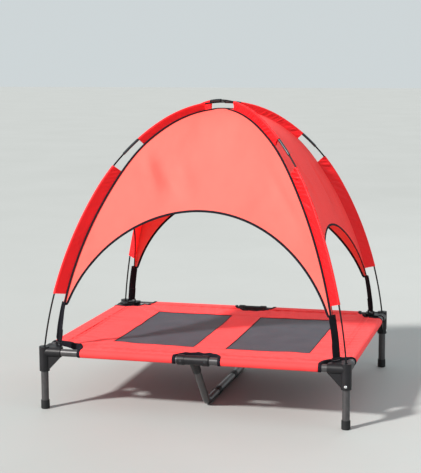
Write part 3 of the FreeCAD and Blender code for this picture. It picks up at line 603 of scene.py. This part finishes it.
# Creases of each panel: start and end in its own x and z, half width and height
CREASES = {
    "front": (
        ((-0.345, 0.455), (-0.275, 0.475), 0.012, 0.0112),
        ((-0.360, 0.425), (-0.285, 0.440), 0.010, -0.0097),
        ((-0.372, 0.390), (-0.300, 0.400), 0.012, 0.0097),
        ((-0.190, 0.740), (-0.120, 0.600), 0.016, 0.0102),
        ((-0.150, 0.730), (-0.060, 0.600), 0.018, -0.0089),
        ((-0.080, 0.720), (-0.020, 0.590), 0.022, 0.0077),
        ((0.190, 0.700), (0.330, 0.480), 0.016, 0.0065),
        ((0.345, 0.500), (0.375, 0.400), 0.008, 0.0051),
    ),
    "right": (
        ((-0.150, 0.740), (-0.220, 0.520), 0.014, 0.0068),
        ((-0.060, 0.770), (0.020, 0.540), 0.018, 0.0051),
        ((0.130, 0.700), (0.170, 0.500), 0.010, -0.0068),
        ((0.180, 0.660), (0.215, 0.500), 0.012, 0.0068),
    ),
    "back": (
        ((-0.300, 0.520), (-0.180, 0.660), 0.016, 0.0068),
        ((0.250, 0.580), (0.120, 0.720), 0.018, 0.0059),
        ((0.340, 0.480), (0.380, 0.380), 0.008, 0.0051),
    ),
    "left": (
        ((-0.120, 0.720), (-0.200, 0.520), 0.014, 0.0059),
        ((0.080, 0.760), (0.160, 0.540), 0.016, 0.0068),
    ),
}
PANELS = {
    "front": (0, OUT_X, OUT_Y, FRONT_ARCH),
    "right": (90, OUT_Y, OUT_X, SIDE_ARCH),
    "back": (180, OUT_X, OUT_Y, FRONT_ARCH),
    "left": (270, OUT_Y, OUT_X, SIDE_ARCH),
}
# Grid of each panel: columns, rows, and how far its middle bows out
PANEL_COLUMNS = 113
PANEL_ROWS = 57
PANEL_BOW = 7 * MM


def arch_angle(share, width, arch):
    """How far down a panel's column runs: to the arch, or to the panel's tip."""
    half, base, rise = arch
    low, high = 0.0, TIP_ANGLE
    out, up = hip_at(high)
    if (share * out * width / half) ** 2 + ((up - base) / rise) ** 2 > 1:
        return high
    for _ in range(40):
        middle = (low + high) / 2
        out, up = hip_at(middle)
        if (share * out * width / half) ** 2 + ((up - base) / rise) ** 2 > 1:
            low = middle
        else:
            high = middle
    return low


def panel_grid(name):
    """A panel's points, from its lower edge up to the apex, and their outward normals."""
    turn, width, reach, arch = PANELS[name]
    shares = np.sin(np.linspace(-1, 1, PANEL_COLUMNS) * math.pi / 2 * 0.92)
    shares /= shares[-1]
    bottoms = np.array([arch_angle(share, width, arch) for share in shares])
    angles = bottoms[:, None] * (1 - np.linspace(0, 1, PANEL_ROWS)[None, :])
    out, up = hip_at(angles)
    across = shares[:, None] * out * width
    bow = PANEL_BOW * (1 - shares[:, None] ** 2) * smooth(out / 0.3)
    grid = np.stack([across, -out * reach + bow, up], axis=-1)
    normals = panel_normals(grid)
    lift = np.zeros(across.shape)
    for start, end, half_width, height in CREASES[name]:
        lift += ridge(across, up, start, end, half_width, height)
    seed = turn / 10.0
    for i in range(PANEL_COLUMNS):
        for j in range(PANEL_ROWS):
            lift[i, j] += (2.2 * MM * wobble(across[i, j] * 7, up[i, j] * 5, seed)
                           + 0.5 * MM * wobble(across[i, j] * 30, up[i, j] * 12, seed + 3))
    lift *= 1 - np.abs(shares[:, None]) ** 10
    lift *= 0.12 + 0.88 * smooth(np.linspace(0, 1, PANEL_ROWS) / 0.18)[None, :]
    lift *= smooth(out / 0.06)
    grid = grid + normals * lift[..., None]
    return turned(grid, turn), turned(panel_normals(grid), turn)


def panel_normals(grid):
    """Outward normals of a front panel's grid."""
    along = np.gradient(grid, axis=0)
    upward = np.gradient(grid, axis=1)
    normals = np.cross(along, upward)
    normals[:, -1] = normals[:, -2]
    return unit(normals)


def build_panel(name):
    """A canopy panel whose columns meet in one point at the apex."""
    grid, normals = panel_grid(name)
    points = grid.reshape(-1, 3)
    apex = PANEL_ROWS - 1
    used = np.ones(len(points), bool)
    used[apex::PANEL_ROWS] = False
    used[apex] = True
    renumber = np.cumsum(used) - 1
    faces = []
    for face in grid_faces(PANEL_COLUMNS, PANEL_ROWS):
        if face[3] % PANEL_ROWS == apex:
            face = (face[0], face[1], apex)
        faces.append(tuple(int(renumber[index]) for index in face))
    turn = PANELS[name][0]
    drawn = turned(points, -turn)
    flat_places = np.stack([drawn[:, 0], drawn[:, 2] - drawn[:, 1] * 0.5], axis=-1)
    # The left and right panels take the darker copy of the cloth, with its painted shade.
    cloth = shaded_side_cloth if name in ("left", "right") else surfaces["canopy_cloth"]
    panel = piece("canopy_cloth_" + name, (points[used], faces, flat_places[used]),
                  "canopy_cloth", "canopy", cloth, sharp_border=True)
    thicken(panel, CANOPY_CLOTH)
    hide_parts("canopy_panel_" + name)
    return panel, grid, normals


def arch_tape(grid, normals):
    """Black tape folded over the panel's arched edge."""
    edge = grid[:, 0]
    path = resample(edge, 7 * MM)
    outward = unit(read_off(np.linspace(0, 1, len(path)), np.linspace(0, 1, len(edge)),
                            normals[:, 0]))
    return sweep(path, outward, tape_profile(-TAPE_WIDTH + 1 * MM, 1 * MM, 1.15 * MM))


def hip_piping(front):
    """Tape along both hips of the front or back panel, in one run over the apex."""
    sign = -1 if front else 1
    angles = np.concatenate([np.linspace(-TIP_ANGLE, -0.001, 110),
                             np.linspace(0.001, TIP_ANGLE, 110)])
    out, up = hip_at(np.abs(angles))
    rounded = out * smooth(out / 0.045)
    path = np.stack([np.sign(angles) * out * OUT_X, sign * rounded * OUT_Y, up], axis=1)
    lean = np.radians(np.abs(angles))
    outward = np.stack([0 * lean, sign * np.sin(lean) / OUT_Y, np.cos(lean)], axis=1)
    outward = unit(outward)
    path = path + outward * 1.7 * MM
    path[:, 0] -= np.sign(angles) * 4.2 * MM * smooth(out / 0.04)
    return sweep(path, outward, tape_profile(-PIPING_WIDTH / 2, PIPING_WIDTH / 2, 1.3 * MM))


def build_canopy_cloth():
    """The four panels, each with its tapes."""
    panels, trims = {}, {}
    for name in PANELS:
        panels[name], grid, normals = build_panel(name)
        tape = piece("arch_tape_" + name, arch_tape(grid, normals), "binding_tape", "canopy")
        trims[name] = [tape]
    for name in ("front", "back"):
        piping = piece("hip_piping_" + name, hip_piping(name == "front"),
                       "binding_tape", "canopy")
        trims[name].append(piping)


# ---- Sleeves round the poles ----

SLEEVE_ACROSS = 33
PUCKERS = {
    ("front_right", "lower"): (6.0, 5.2, 4),
    ("front_right", "upper"): (3.6, 3.6, 9),
    ("front_left", "lower"): (0.7, 0.4, 14),
    ("front_left", "upper"): (0.5, 0.3, 21),
    ("back_right", "lower"): (3.2, 1.8, 25),
    ("back_right", "upper"): (3.2, 1.8, 31),
    ("back_left", "lower"): (1.2, 0.8, 38),
    ("back_left", "upper"): (1.2, 0.8, 45),
}


def sleeve_grid(corner, run):
    """A folded strip of cloth: from the hip seam out, round the pole and back to the seam."""
    sign_x, sign_y = CORNERS[corner]
    drop = 0.0 if sign_x * sign_y < 0 else INNER_DROP
    start, end = SLEEVES[run]
    wide, fine, seed = PUCKERS[(corner, run)]
    count = 130 if run == "lower" else 110
    out_way = np.array([sign_x * OUT_X, sign_y * OUT_Y, 0])
    up_way = np.array([0, 0, 1.0])
    side_way = np.cross(out_way, up_way)
    rows = []
    for index, angle in enumerate(np.linspace(start, end, count)):
        share = index / (count - 1)
        out, up = pole_point(angle)
        up -= drop
        hip_out, hip_up = hip_point(angle)
        rod = out_way * out + up_way * up
        seam = out_way * hip_out + up_way * hip_up
        depth = np.linalg.norm(seam - rod)
        down = (seam - rod) / depth
        length = share * math.radians(end - start) * 0.7
        near_end = min(share, 1 - share)
        flare = 1 + 0.5 * math.exp(-near_end / 0.02)
        from_gap = share if run == "lower" else 1 - share
        gather = 0.3 + 0.7 * math.exp(-(from_gap / 0.45) ** 2)
        row = []
        for step in range(SLEEVE_ACROSS):
            around = -1 + 2 * step / (SLEEVE_ACROSS - 1)
            reach = abs(around)
            if reach < SHEATH_SHARE:
                turn = around / SHEATH_SHARE * math.pi / 2
                along = -SHEATH_RADIUS * math.cos(turn)
                beside = SHEATH_RADIUS * math.sin(turn)
            else:
                fall = (reach - SHEATH_SHARE) / (1 - SHEATH_SHARE)
                along = depth * fall
                beside = math.copysign(0.6 * MM + (SHEATH_RADIUS - 0.6 * MM)
                                       * (1 - fall) ** 1.4, around)
            beside *= flare
            window = math.sin(math.pi * min(1.0, max(0.0, along / depth))) ** 0.8
            slant = length * 78 + 2.2 * along / depth
            wander = 3 * wobble(length * 14, along * 10, seed)
            strength = 0.55 + wobble(length * 22, 4, seed)
            pucker = (wide * wobble(slant * 0.55, along * 20, seed)
                      + fine * math.sin(slant * 4.6 + wander) * strength)
            ply = 0.35 * wobble(length * 30, along * 30, seed + around)
            shift = (pucker * gather + ply) * MM * window
            row.append(rod + down * along + side_way * (beside + shift))
        rows.append(row)
    return np.asarray(rows)


def build_sleeves():
    """The hip sleeves, each in an upper and a lower length."""
    for corner in CORNERS:
        parts = []
        for run in SLEEVES:
            grid = sleeve_grid(corner, run)
            parts.append((grid.reshape(-1, 3), grid_faces(*grid.shape[:2]), flat_grid(grid)))
        sleeve = piece("sleeve_" + corner, join_parts(parts), "sleeve_cloth", "canopy",
                       sharp_border=True)
        thicken(sleeve, 0.7 * MM)
        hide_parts("hip_sleeve_" + corner)


# ---- Straps ----

STRAP_TWIST = {"front_left": -24, "front_right": 4, "back_left": 6, "back_right": -5}


def build_strap(corner):
    """Webbing sewn over the canopy's tip, down to the buckle and doubled back through it."""
    sign_x, sign_y = CORNERS[corner]
    buckle_low, buckle_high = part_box("strap_buckle_" + corner)
    foot = (buckle_low + buckle_high) / 2
    hip_out, hip_up = hip_point(TIP_ANGLE)
    out_way = np.array([sign_x * OUT_X, sign_y * OUT_Y, 0])
    across = np.cross(out_way, np.array([0, 0, 1.0]))
    top = out_way * (hip_out - 3 * MM) + np.array([0, 0, hip_up + 8 * MM])
    bottom = np.array([foot.x, foot.y, buckle_high.z - 1.5 * MM])
    shares = np.linspace(0, 1, 46)
    seed = sign_x * 3 + sign_y
    path = []
    facing = []
    for share in shares:
        point = bottom + (top - bottom) * share
        bend = math.sin(math.pi * share)
        point = point + out_way * (2.5 * MM * bend + 0.6 * MM * wobble(share * 3, seed, 0))
        twist = math.radians(STRAP_TWIST[corner]) * (1 - share) ** 0.7
        twist *= float(smooth(share / 0.12))
        path.append(point)
        facing.append(out_way * math.cos(twist) + across * math.sin(twist))
    path = np.asarray(path)
    facing = np.asarray(facing)
    profile = tape_profile(-STRAP_WIDTH / 2, STRAP_WIDTH / 2, STRAP_THICKNESS / 2)
    folded = smooth((shares - 0.87) / 0.03)
    scale = np.stack([1 - 0.06 * folded, 1 + 0.9 * folded], axis=1)
    parts = [sweep(path, facing, profile, scale=scale)]
    tail = path[:16] - facing[:16] * (STRAP_THICKNESS + 0.3 * MM)
    parts.append(sweep(tail, facing[:16], profile))
    strap = piece("strap_" + corner, join_parts(parts), "webbing", "canopy")
    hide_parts("corner_strap_" + corner)


# ---- Bed cover ----

def edge_fall(position, half):
    """1 in the middle of the bed and 0 at a rail."""
    return 1 - np.abs(np.clip(position / half, -1, 1)) ** 3.2


CUT_CENTRES = [(sx * LEG_X + COVER_SHIFT, sy * LEG_Y, CORNER_CUT) for sx, sy in CORNERS.values()]
CUT_CENTRES += [(COVER_SHIFT, s * (LEG_Y + CENTRE_CUT_INSET), CENTRE_CUT) for s in (-1, 1)]
# Pulls that radiate from the cut-outs: cut-out, direction in degrees, length, half angle, height
PULLS = (
    (3, 38, 0.20, 5, 4.8), (3, 62, 0.15, 6, -3.3), (3, 20, 0.16, 5, 3.0),
    (0, 142, 0.15, 5, 2.7), (0, 115, 0.13, 5, 2.2),
    (1, 215, 0.16, 5, 3.3), (1, 240, 0.12, 6, -2.2),
    (2, 320, 0.17, 5, 3.6), (2, 295, 0.12, 6, 2.4),
    (4, 50, 0.13, 6, 2.7), (4, 130, 0.14, 6, 3.3), (4, 88, 0.10, 7, -2.4),
    (5, 230, 0.13, 6, 3.0), (5, 310, 0.12, 6, 2.4),
)


def cover_height(x, y):
    """The height of the slung cloth's mid surface inside the rails."""
    depth = SAG_LEFT + (SAG_RIGHT - SAG_LEFT) * (x / LEG_X + 1) / 2
    sag = depth * edge_fall(x, LEG_X) * edge_fall(y, LEG_Y)
    pulls = np.zeros(np.shape(x))
    for index, heading, length, half_angle, height in PULLS:
        centre_x, centre_y, radius = CUT_CENTRES[index]
        away_x, away_y = x - centre_x, y - centre_y
        away = np.hypot(away_x, away_y)
        bearing = np.degrees(np.arctan2(away_y, away_x)) - heading
        bearing = (bearing + 180) % 360 - 180
        run = (away - radius) / length
        fade = np.exp(-np.clip(run, 0, None) * 2.2) * smooth(run * 4 + 0.6)
        pulls += height * MM * fade * np.exp(-(bearing / half_angle) ** 2)
    rim = np.minimum(edge_fall(x, LEG_X), edge_fall(y, LEG_Y))
    swell = wobble(float(x) * 9, float(y) * 6, 2) * 2.6 * MM
    swell += wobble(float(x) * 22 + float(y) * 9, float(y) * 12, 7) * 1.9 * MM
    outside = max(0.0, abs(float(x) - COVER_SHIFT) - MESH_SPACING) / 0.25
    swell *= 0.5 + 0.9 * min(outside, 1.0)
    return RAIL_Z + POCKET_RADIUS - sag + (pulls + swell) * smooth(rim * 2.5)


def hem_ripple(run, seed):
    """Small puckers of the sewn hem, along a rail."""
    return 2.0 * MM * math.sin(run * 170 + 2.5 * wobble(run * 9, seed, 0)) \
        * (0.4 + 0.6 * wobble(run * 6, seed, 5))


TANGENT = math.radians(180 - 28.05)
RETURN_LENGTH = 47.0 * MM


def rail_wrap(position, half):
    """Where cloth goes that is laid over a rail: sideways place and drop from the pocket's top.

    position is measured along the flat cloth from the middle of the bed.
    """
    over = abs(position) - half
    side = math.copysign(1, position)
    if over <= 0:
        return position, 0.0, (0.0, 1.0)
    turn = over / POCKET_RADIUS
    if turn < TANGENT:
        reach = half + POCKET_RADIUS * math.sin(turn)
        return (side * reach, POCKET_RADIUS * (1 - math.cos(turn)),
                (side * math.sin(turn), math.cos(turn)))
    run = over - TANGENT * POCKET_RADIUS
    reach = half + POCKET_RADIUS * math.sin(TANGENT) + run * math.cos(TANGENT)
    drop = POCKET_RADIUS * (1 - math.cos(TANGENT)) - run * math.sin(TANGENT)
    return side * reach, drop, (side * math.sin(TANGENT), math.cos(TANGENT))


WRAP_LENGTH = TANGENT * POCKET_RADIUS + RETURN_LENGTH


def top_height(x, y):
    """The top sheet's height with its seams and the small puckers of its hems."""
    level = float(cover_height(x, y)) - 0.9 * MM * max(0.0, seam_dip(x, y))
    rim_x, rim_y = LEG_X - abs(x), LEG_Y - abs(y)
    if 0 <= rim_y < 0.12:
        level += hem_ripple(x, 1 + (y > 0)) * math.sin(math.pi * rim_y / 0.12)
    elif 0 <= rim_x < 0.1:
        level += hem_ripple(y, 4 + (x > 0)) * math.sin(math.pi * rim_x / 0.1)
    return level


def spaced_lines(half, step, extra):
    """Grid lines across the flat cloth, closer round the rails and at each seam."""
    turn_steps = np.arange(1, 11) * TANGENT * POCKET_RADIUS / 10
    return_steps = TANGENT * POCKET_RADIUS + np.arange(1, 7) * RETURN_LENGTH / 6
    outer = np.concatenate([half + turn_steps, half + return_steps])
    inner = np.linspace(-half, half, round(2 * half / step) + 1)
    inner = [line for line in inner if min([abs(line - e) for e in extra] + [1]) > step * 0.4]
    return np.unique(np.round(np.concatenate([-outer, inner, extra, outer]), 6))


def nearest_cut(x, y):
    """The cut-out's index and how far outside its edge a place is."""
    gaps = [math.hypot(x - cx, y - cy) - radius for cx, cy, radius in CUT_CENTRES]
    index = int(np.argmin(gaps))
    return index, gaps[index]


WINDOWS = [COVER_SHIFT + side * MESH_SPACING for side in (-1, 1)]
SEAM_HALF = 1.6 * MM
CROSS_SEAM = MESH_HALF_Y + 6 * MM


def in_window(x, y, grow=0.0):
    return any(abs(x - centre) < MESH_HALF_X + grow and abs(y) < MESH_HALF_Y + grow
               for centre in WINDOWS)


def seam_dip(x, y):
    """How far a seam pulls the cloth down at a place."""
    dip = 0.0
    for place, line in ((y, CROSS_SEAM), (x, LEG_X - HEM_REACH), (y, LEG_Y - HEM_REACH)):
        dip = max(dip, 1 - abs(abs(place) - line) / SEAM_HALF)
    return dip


def build_cover():
    """The top sheet and its rail pockets as one cloth, less the cut-outs and windows."""
    def seam_lines(line):
        return [s * line + o for s in (-1, 1) for o in (-SEAM_HALF, 0, SEAM_HALF)]

    seam_y = seam_lines(CROSS_SEAM) + seam_lines(LEG_Y - HEM_REACH)
    seam_y += [s * MESH_HALF_Y for s in (-1, 1)]
    seam_x = seam_lines(LEG_X - HEM_REACH)
    seam_x += [centre + s * MESH_HALF_X for centre in WINDOWS for s in (-1, 1)]
    lines_x = spaced_lines(LEG_X, 6.5 * MM, seam_x)
    lines_y = spaced_lines(LEG_Y, 6.5 * MM, seam_y)
    columns, rows = len(lines_x), len(lines_y)
    points = np.zeros((columns, rows, 3))
    keep = np.ones((columns, rows), bool)
    cut_edge = BINDING_WIDTH * 0.6
    for i, flat_x in enumerate(lines_x):
        for j, flat_y in enumerate(lines_y):
            x, drop_x, _ = rail_wrap(flat_x, LEG_X)
            y, drop_y, _ = rail_wrap(flat_y, LEG_Y)
            z = RAIL_Z + POCKET_RADIUS - drop_x - drop_y
            index, away = nearest_cut(x, y)
            away -= cut_edge
            on_top = abs(flat_x) <= LEG_X and abs(flat_y) <= LEG_Y
            if away < 0:
                keep[i, j] = False
            if abs(away) < 3.6 * MM and (on_top or abs(flat_x) < LEG_X or abs(flat_y) < LEG_Y):
                centre_x, centre_y, radius = CUT_CENTRES[index]
                if on_top:
                    bearing = math.atan2(y - centre_y, x - centre_x)
                    x = centre_x + (radius + cut_edge) * math.cos(bearing)
                    y = centre_y + (radius + cut_edge) * math.sin(bearing)
                elif abs(flat_x) < LEG_X:
                    inside = (radius + cut_edge) ** 2 - (y - centre_y) ** 2
                    if inside > 0:
                        x = centre_x + math.copysign(math.sqrt(inside), x - centre_x)
                else:
                    inside = (radius + cut_edge) ** 2 - (x - centre_x) ** 2
                    if inside > 0:
                        y = centre_y + math.copysign(math.sqrt(inside), y - centre_y)
                keep[i, j] = True
            if on_top:
                z = top_height(x, y)
            points[i, j] = (x, y, z)
    faces = []
    for i in range(columns - 1):
        for j in range(rows - 1):
            middle_x = (lines_x[i] + lines_x[i + 1]) / 2
            middle_y = (lines_y[j] + lines_y[j + 1]) / 2
            if in_window(middle_x, middle_y):
                continue
            if abs(middle_x) > LEG_X and abs(middle_y) > LEG_Y:
                continue
            square = ((i, j), (i + 1, j), (i + 1, j + 1), (i, j + 1))
            if all(keep[spot] for spot in square):
                centre = np.mean([points[spot] for spot in square], axis=0)
                if nearest_cut(centre[0], centre[1])[1] > cut_edge - 1 * MM:
                    faces.append(tuple(a * rows + b for a, b in square))
    used = sorted({index for face in faces for index in face})
    renumber = {old: new for new, old in enumerate(used)}
    faces = [tuple(renumber[index] for index in face) for face in faces]
    flat = flat_mesh(lines_x, lines_y)
    cover = piece("bed_cover_cloth", (points.reshape(-1, 3)[used], faces, flat[used]),
                  "cover_cloth", "root", sharp_border=True)
    thicken(cover, COVER_CLOTH)
    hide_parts("bed_cover", "hem_pockets")
    return cover


def edge_over_rail(index, rail_side, cut_side, steps, along_x=True):
    """A cut-out's edge where the cloth wraps a rail, as points with their normals."""
    centre_x, centre_y, radius = CUT_CENTRES[index]
    half, middle, beside = (LEG_Y, centre_y, centre_x) if along_x else (LEG_X, centre_x, centre_y)
    edge = []
    for over in steps:
        place, drop, (lean, up) = rail_wrap(rail_side * (half + over), half)
        other = beside + cut_side * math.sqrt(max(radius ** 2 - (place - middle) ** 2, 0))
        level = RAIL_Z + POCKET_RADIUS - drop
        if along_x:
            edge.append(((other, place, level), (0, lean, up)))
        else:
            edge.append(((place, other, level), (lean, 0, up)))
    return edge


def edge_on_top(index, bearings):
    """A cut-out's edge on the top sheet, as points with their normals."""
    centre_x, centre_y, radius = CUT_CENTRES[index]
    edge = []
    for bearing in bearings:
        x = centre_x + radius * math.cos(bearing)
        y = centre_y + radius * math.sin(bearing)
        edge.append(((x, y, top_height(x, y)), (0, 0, 1)))
    return edge


def cut_path(index):
    """The edge of a cut-out, from the hem under one rail, over the top, to the other end."""
    centre_x, centre_y, radius = CUT_CENTRES[index]
    steps = np.linspace(WRAP_LENGTH, 0.001, 26)
    if index < len(CORNERS):
        side_x, side_y = list(CORNERS.values())[index]
        start = math.atan2(0, -side_x)
        reach = side_x * LEG_X - centre_x
        end = math.atan2(-side_y * math.sqrt(radius ** 2 - reach ** 2), reach)
        turn = (end - start + math.pi) % (2 * math.pi) - math.pi
        edge = edge_over_rail(index, side_y, -side_x, steps)
        edge += edge_on_top(index, [start + turn * share for share in np.linspace(0, 1, 40)])
        edge += edge_over_rail(index, side_x, -side_y, steps[::-1], along_x=False)
    else:
        side_y = -1 if index == 4 else 1
        reach = side_y * LEG_Y - centre_y
        half = math.sqrt(radius ** 2 - reach ** 2)
        first, last = math.atan2(reach, -half), math.atan2(reach, half)
        span = abs((last - first + math.pi) % (2 * math.pi) - math.pi)
        edge = edge_over_rail(index, side_y, -1, steps)
        edge += edge_on_top(index, [first + side_y * span * share
                                    for share in np.linspace(0.01, 0.99, 44)])
        edge += edge_over_rail(index, side_y, 1, steps[::-1])
    path, normals = zip(*edge)
    return np.asarray(path), np.asarray(normals, float)


def build_bindings():
    """Tape round each cut-out, with a folded edge that hangs below it."""
    parts = []
    for index, (centre_x, centre_y, _) in enumerate(CUT_CENTRES):
        path, normals = cut_path(index)
        along = tangents(path)
        across = np.cross(along, normals)
        away = path - np.array([centre_x, centre_y, RAIL_Z])
        outward = 1 if (across * away).sum() > 0 else -1
        profile = tape_profile(-0.5 * MM, BINDING_WIDTH, 1.6 * MM)
        if outward < 0:
            profile = [(-side, height) for side, height in profile][::-1]
        ripple = np.array([wobble(k * 0.35, index, 0) for k in range(len(path))])
        on_top = smooth(normals[:, 2] * 8 - 6.6)
        scale = np.stack([1 + 0.12 * ripple, 1 + 0.3 * ripple + 0.35 * on_top], axis=1)
        parts.append(sweep(path, normals, profile, scale=scale))
        top = np.flatnonzero(normals[:, 2] > 0.999)
        fold = path[top[0] + 1:top[-1]]
        share = np.linspace(0, 1, len(fold))
        drop = FOLD_DROP * np.sin(np.pi * share) ** 0.35 * (1 + 0.15 * ripple[top[0] + 1:top[-1]])
        fold = fold - np.outer(drop / 2, (0, 0, 1))
        sideways = np.cross(tangents(fold), straight_up(fold))
        flap = tape_profile(-0.5, 0.5, 0.11, 2)
        scale = np.stack([drop, np.full(len(fold), 10 * MM)], axis=1)
        parts.append(sweep(fold, sideways, flap, scale=scale))
    binding = piece("cover_binding_tape", join_parts(parts), "binding_tape", "root")
    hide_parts("cover_binding")
    return binding


def build_mesh_panel(name, centre):
    """Open mesh let into the cover, its edge under the cover's turned-in border."""
    lap = 5 * MM
    columns, rows = 44, 80
    xs = np.linspace(centre - MESH_HALF_X - lap, centre + MESH_HALF_X + lap, columns)
    ys = np.linspace(-MESH_HALF_Y - lap, MESH_HALF_Y + lap, rows)
    grid = np.zeros((columns, rows, 3))
    for i, x in enumerate(xs):
        for j, y in enumerate(ys):
            inset = min(MESH_HALF_X + lap - abs(x - centre), MESH_HALF_Y + lap - abs(y))
            soft = 0.8 * MM * wobble(x * 8, y * 5, centre * 10)
            below = 1.25 * MM if inset < lap else 0.6 * MM
            grid[i, j] = (x, y, float(cover_height(x, y)) - below + soft * smooth(inset / 0.03))
    shape = (grid.reshape(-1, 3), grid_faces(columns, rows), flat_mesh(xs, ys))
    panel = piece("mesh_" + name, shape, "mesh_cloth", "root", sharp_border=True)
    thicken(panel, 0.8 * MM)
    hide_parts("mesh_panel_" + name)


def window_edging():
    """Narrow dark tape round each mesh window."""
    parts = []
    for centre in WINDOWS:
        corners = ((-1, -1), (1, -1), (1, 1), (-1, 1))
        path = []
        for index, (side_x, side_y) in enumerate(corners):
            next_x, next_y = corners[(index + 1) % 4]
            for share in np.linspace(0, 1, 60, endpoint=False):
                x = centre + MESH_HALF_X * (side_x + (next_x - side_x) * share)
                y = MESH_HALF_Y * (side_y + (next_y - side_y) * share)
                path.append((x, y, top_height(x, y) + 0.25 * MM))
        path = np.asarray(path)
        profile = tape_profile(-1.6 * MM, 1.6 * MM, 0.55 * MM, 2)
        parts.append(sweep(path, straight_up(path), profile, closed=True))
    return piece("mesh_edging", join_parts(parts), "binding_tape", "root")


def cover_stitching():
    """Thread along the hem seams, the cross seams and the mesh windows."""
    parts = []

    def run(start, end):
        shares = np.linspace(0, 1, 120)[:, None]
        flat = np.array(start) + (np.array(end) - np.array(start)) * shares
        spots = [(x, y) for x, y in flat
                 if nearest_cut(x, y)[1] > BINDING_WIDTH + 1 * MM and not in_window(x, y, 2 * MM)]
        if len(spots) < 8:
            return
        path = np.array([(x, y, top_height(x, y) + COVER_CLOTH / 2) for x, y in spots])
        jumps = np.linalg.norm(np.diff(path, axis=0), axis=1)
        pieces = np.split(path, np.where(jumps > 0.02)[0] + 1)
        for stretch in pieces:
            if len(stretch) > 5:
                parts.append(stitches(stretch, straight_up(stretch)))

    hem_x = LEG_X - HEM_REACH + 4 * MM
    hem_y = LEG_Y - HEM_REACH + 4 * MM
    for side in (-1, 1):
        for offset in (0, 5 * MM):
            run((-LEG_X, side * (hem_y - offset)), (LEG_X, side * (hem_y - offset)))
            run((side * (hem_x - offset), -LEG_Y), (side * (hem_x - offset), LEG_Y))
        seam = side * (MESH_HALF_Y + 10 * MM)
        run((-LEG_X + HEM_REACH, seam), (LEG_X - HEM_REACH, seam))
    for centre in WINDOWS:
        for side in (-1, 1):
            x = centre + side * (MESH_HALF_X + 5 * MM)
            run((x, -MESH_HALF_Y), (x, MESH_HALF_Y))
            y = side * (MESH_HALF_Y + 3.4 * MM)
            run((centre - MESH_HALF_X, y), (centre + MESH_HALF_X, y))
    return piece("cover_stitching", join_parts(parts), "cover_cloth", "root", thread_surface)


# ---- Frame finishes ----

def finish_frame():
    """Better materials on the CAD nodes that stay."""
    slots = {row["node"]: row["material_slot"] for row in frame["record"]["subparts"]}
    for node, made in frame["nodes"].items():
        if made.hide_render:
            continue
        made.data.materials.clear()
        made.data.materials.append(surfaces[slots[node]])


# ---- Studio ----

CAMERA_AT = (0.99882, -3.88421, 1.05288)
CAMERA_YAW = -0.261321
CAMERA_PITCH = 0.143130
CAMERA_ROLL = -0.004294
LENS = 99.83


def build_camera():
    """The camera stands in front of the bed, to the right, and looks slightly down."""
    camera = bpy.data.cameras.new("Camera")
    camera.lens = LENS
    camera.sensor_width = 36
    camera.clip_end = 100
    holder = put("Camera", camera)
    forward = Vector((math.sin(CAMERA_YAW) * math.cos(CAMERA_PITCH),
                      math.cos(CAMERA_YAW) * math.cos(CAMERA_PITCH), -math.sin(CAMERA_PITCH)))
    right = Vector((math.cos(CAMERA_YAW), -math.sin(CAMERA_YAW), 0))
    up = right.cross(forward)
    rolled_right = right * math.cos(CAMERA_ROLL) + up * math.sin(CAMERA_ROLL)
    rolled_up = up * math.cos(CAMERA_ROLL) - right * math.sin(CAMERA_ROLL)
    turn = Matrix((rolled_right, rolled_up, -forward)).transposed()
    holder.matrix_world = Matrix.Translation(CAMERA_AT) @ turn.to_4x4()
    bpy.context.scene.camera = holder


def area_light(name, place, aim, size, power, colour):
    light = bpy.data.lights.new(name, "AREA")
    light.shape = "DISK"
    light.size = size
    light.energy = power
    light.color = colour
    holder = put(name, light)
    holder.location = place
    way = Vector(aim) - Vector(place)
    holder.rotation_euler = way.to_track_quat("-Z", "Y").to_euler()


def build_studio():
    """A pale floor, a strong key from the front left, and soft fill all round."""
    half = 30.0
    steps = 12
    points = [(x, y, 0) for x in np.linspace(-half, half, steps)
              for y in np.linspace(-half, half, steps)]
    mesh = bpy.data.meshes.new("Floor")
    mesh.from_pydata(points, [], [face[::-1] for face in grid_faces(steps, steps)])
    mesh.materials.append(floor_surface())
    put("Floor", mesh)
    middle = Vector((0, 0, 0.35))
    key_way = Vector((-0.50, -0.65, 0.58))
    sun = bpy.data.lights.new("Key", "SUN")
    sun.energy = 6.5
    sun.angle = math.radians(5)
    sun.color = (1.0, 0.97, 0.93)
    key = put("Key", sun)
    key.rotation_euler = key_way.to_track_quat("Z", "Y").to_euler()
    area_light("Fill", (3.2, -1.2, 1.8), middle, 2.5, 26, (0.93, 0.97, 1.0))
    area_light("Back", (1.5, 3.2, 2.6), middle, 2.0, 20, (0.95, 0.98, 1.0))
    world = bpy.data.worlds.new("Studio")
    world.use_nodes = True
    background = world.node_tree.nodes["Background"]
    background.inputs["Color"].default_value = (0.86, 0.93, 0.95, 1)
    background.inputs["Strength"].default_value = 0.72
    bpy.context.scene.world = world
    bpy.context.scene.view_settings.view_transform = "Standard"
    bpy.context.scene.view_settings.look = "None"


build_camera()
build_studio()
build_canopy_cloth()
build_sleeves()
for corner_name in CORNERS:
    build_strap(corner_name)
cover_piece = build_cover()
binding_piece = build_bindings()
for mesh_name, window_centre in zip(("left", "right"), WINDOWS):
    build_mesh_panel(mesh_name, window_centre)
edging_piece = window_edging()
thread_piece = cover_stitching()

finish_frame()
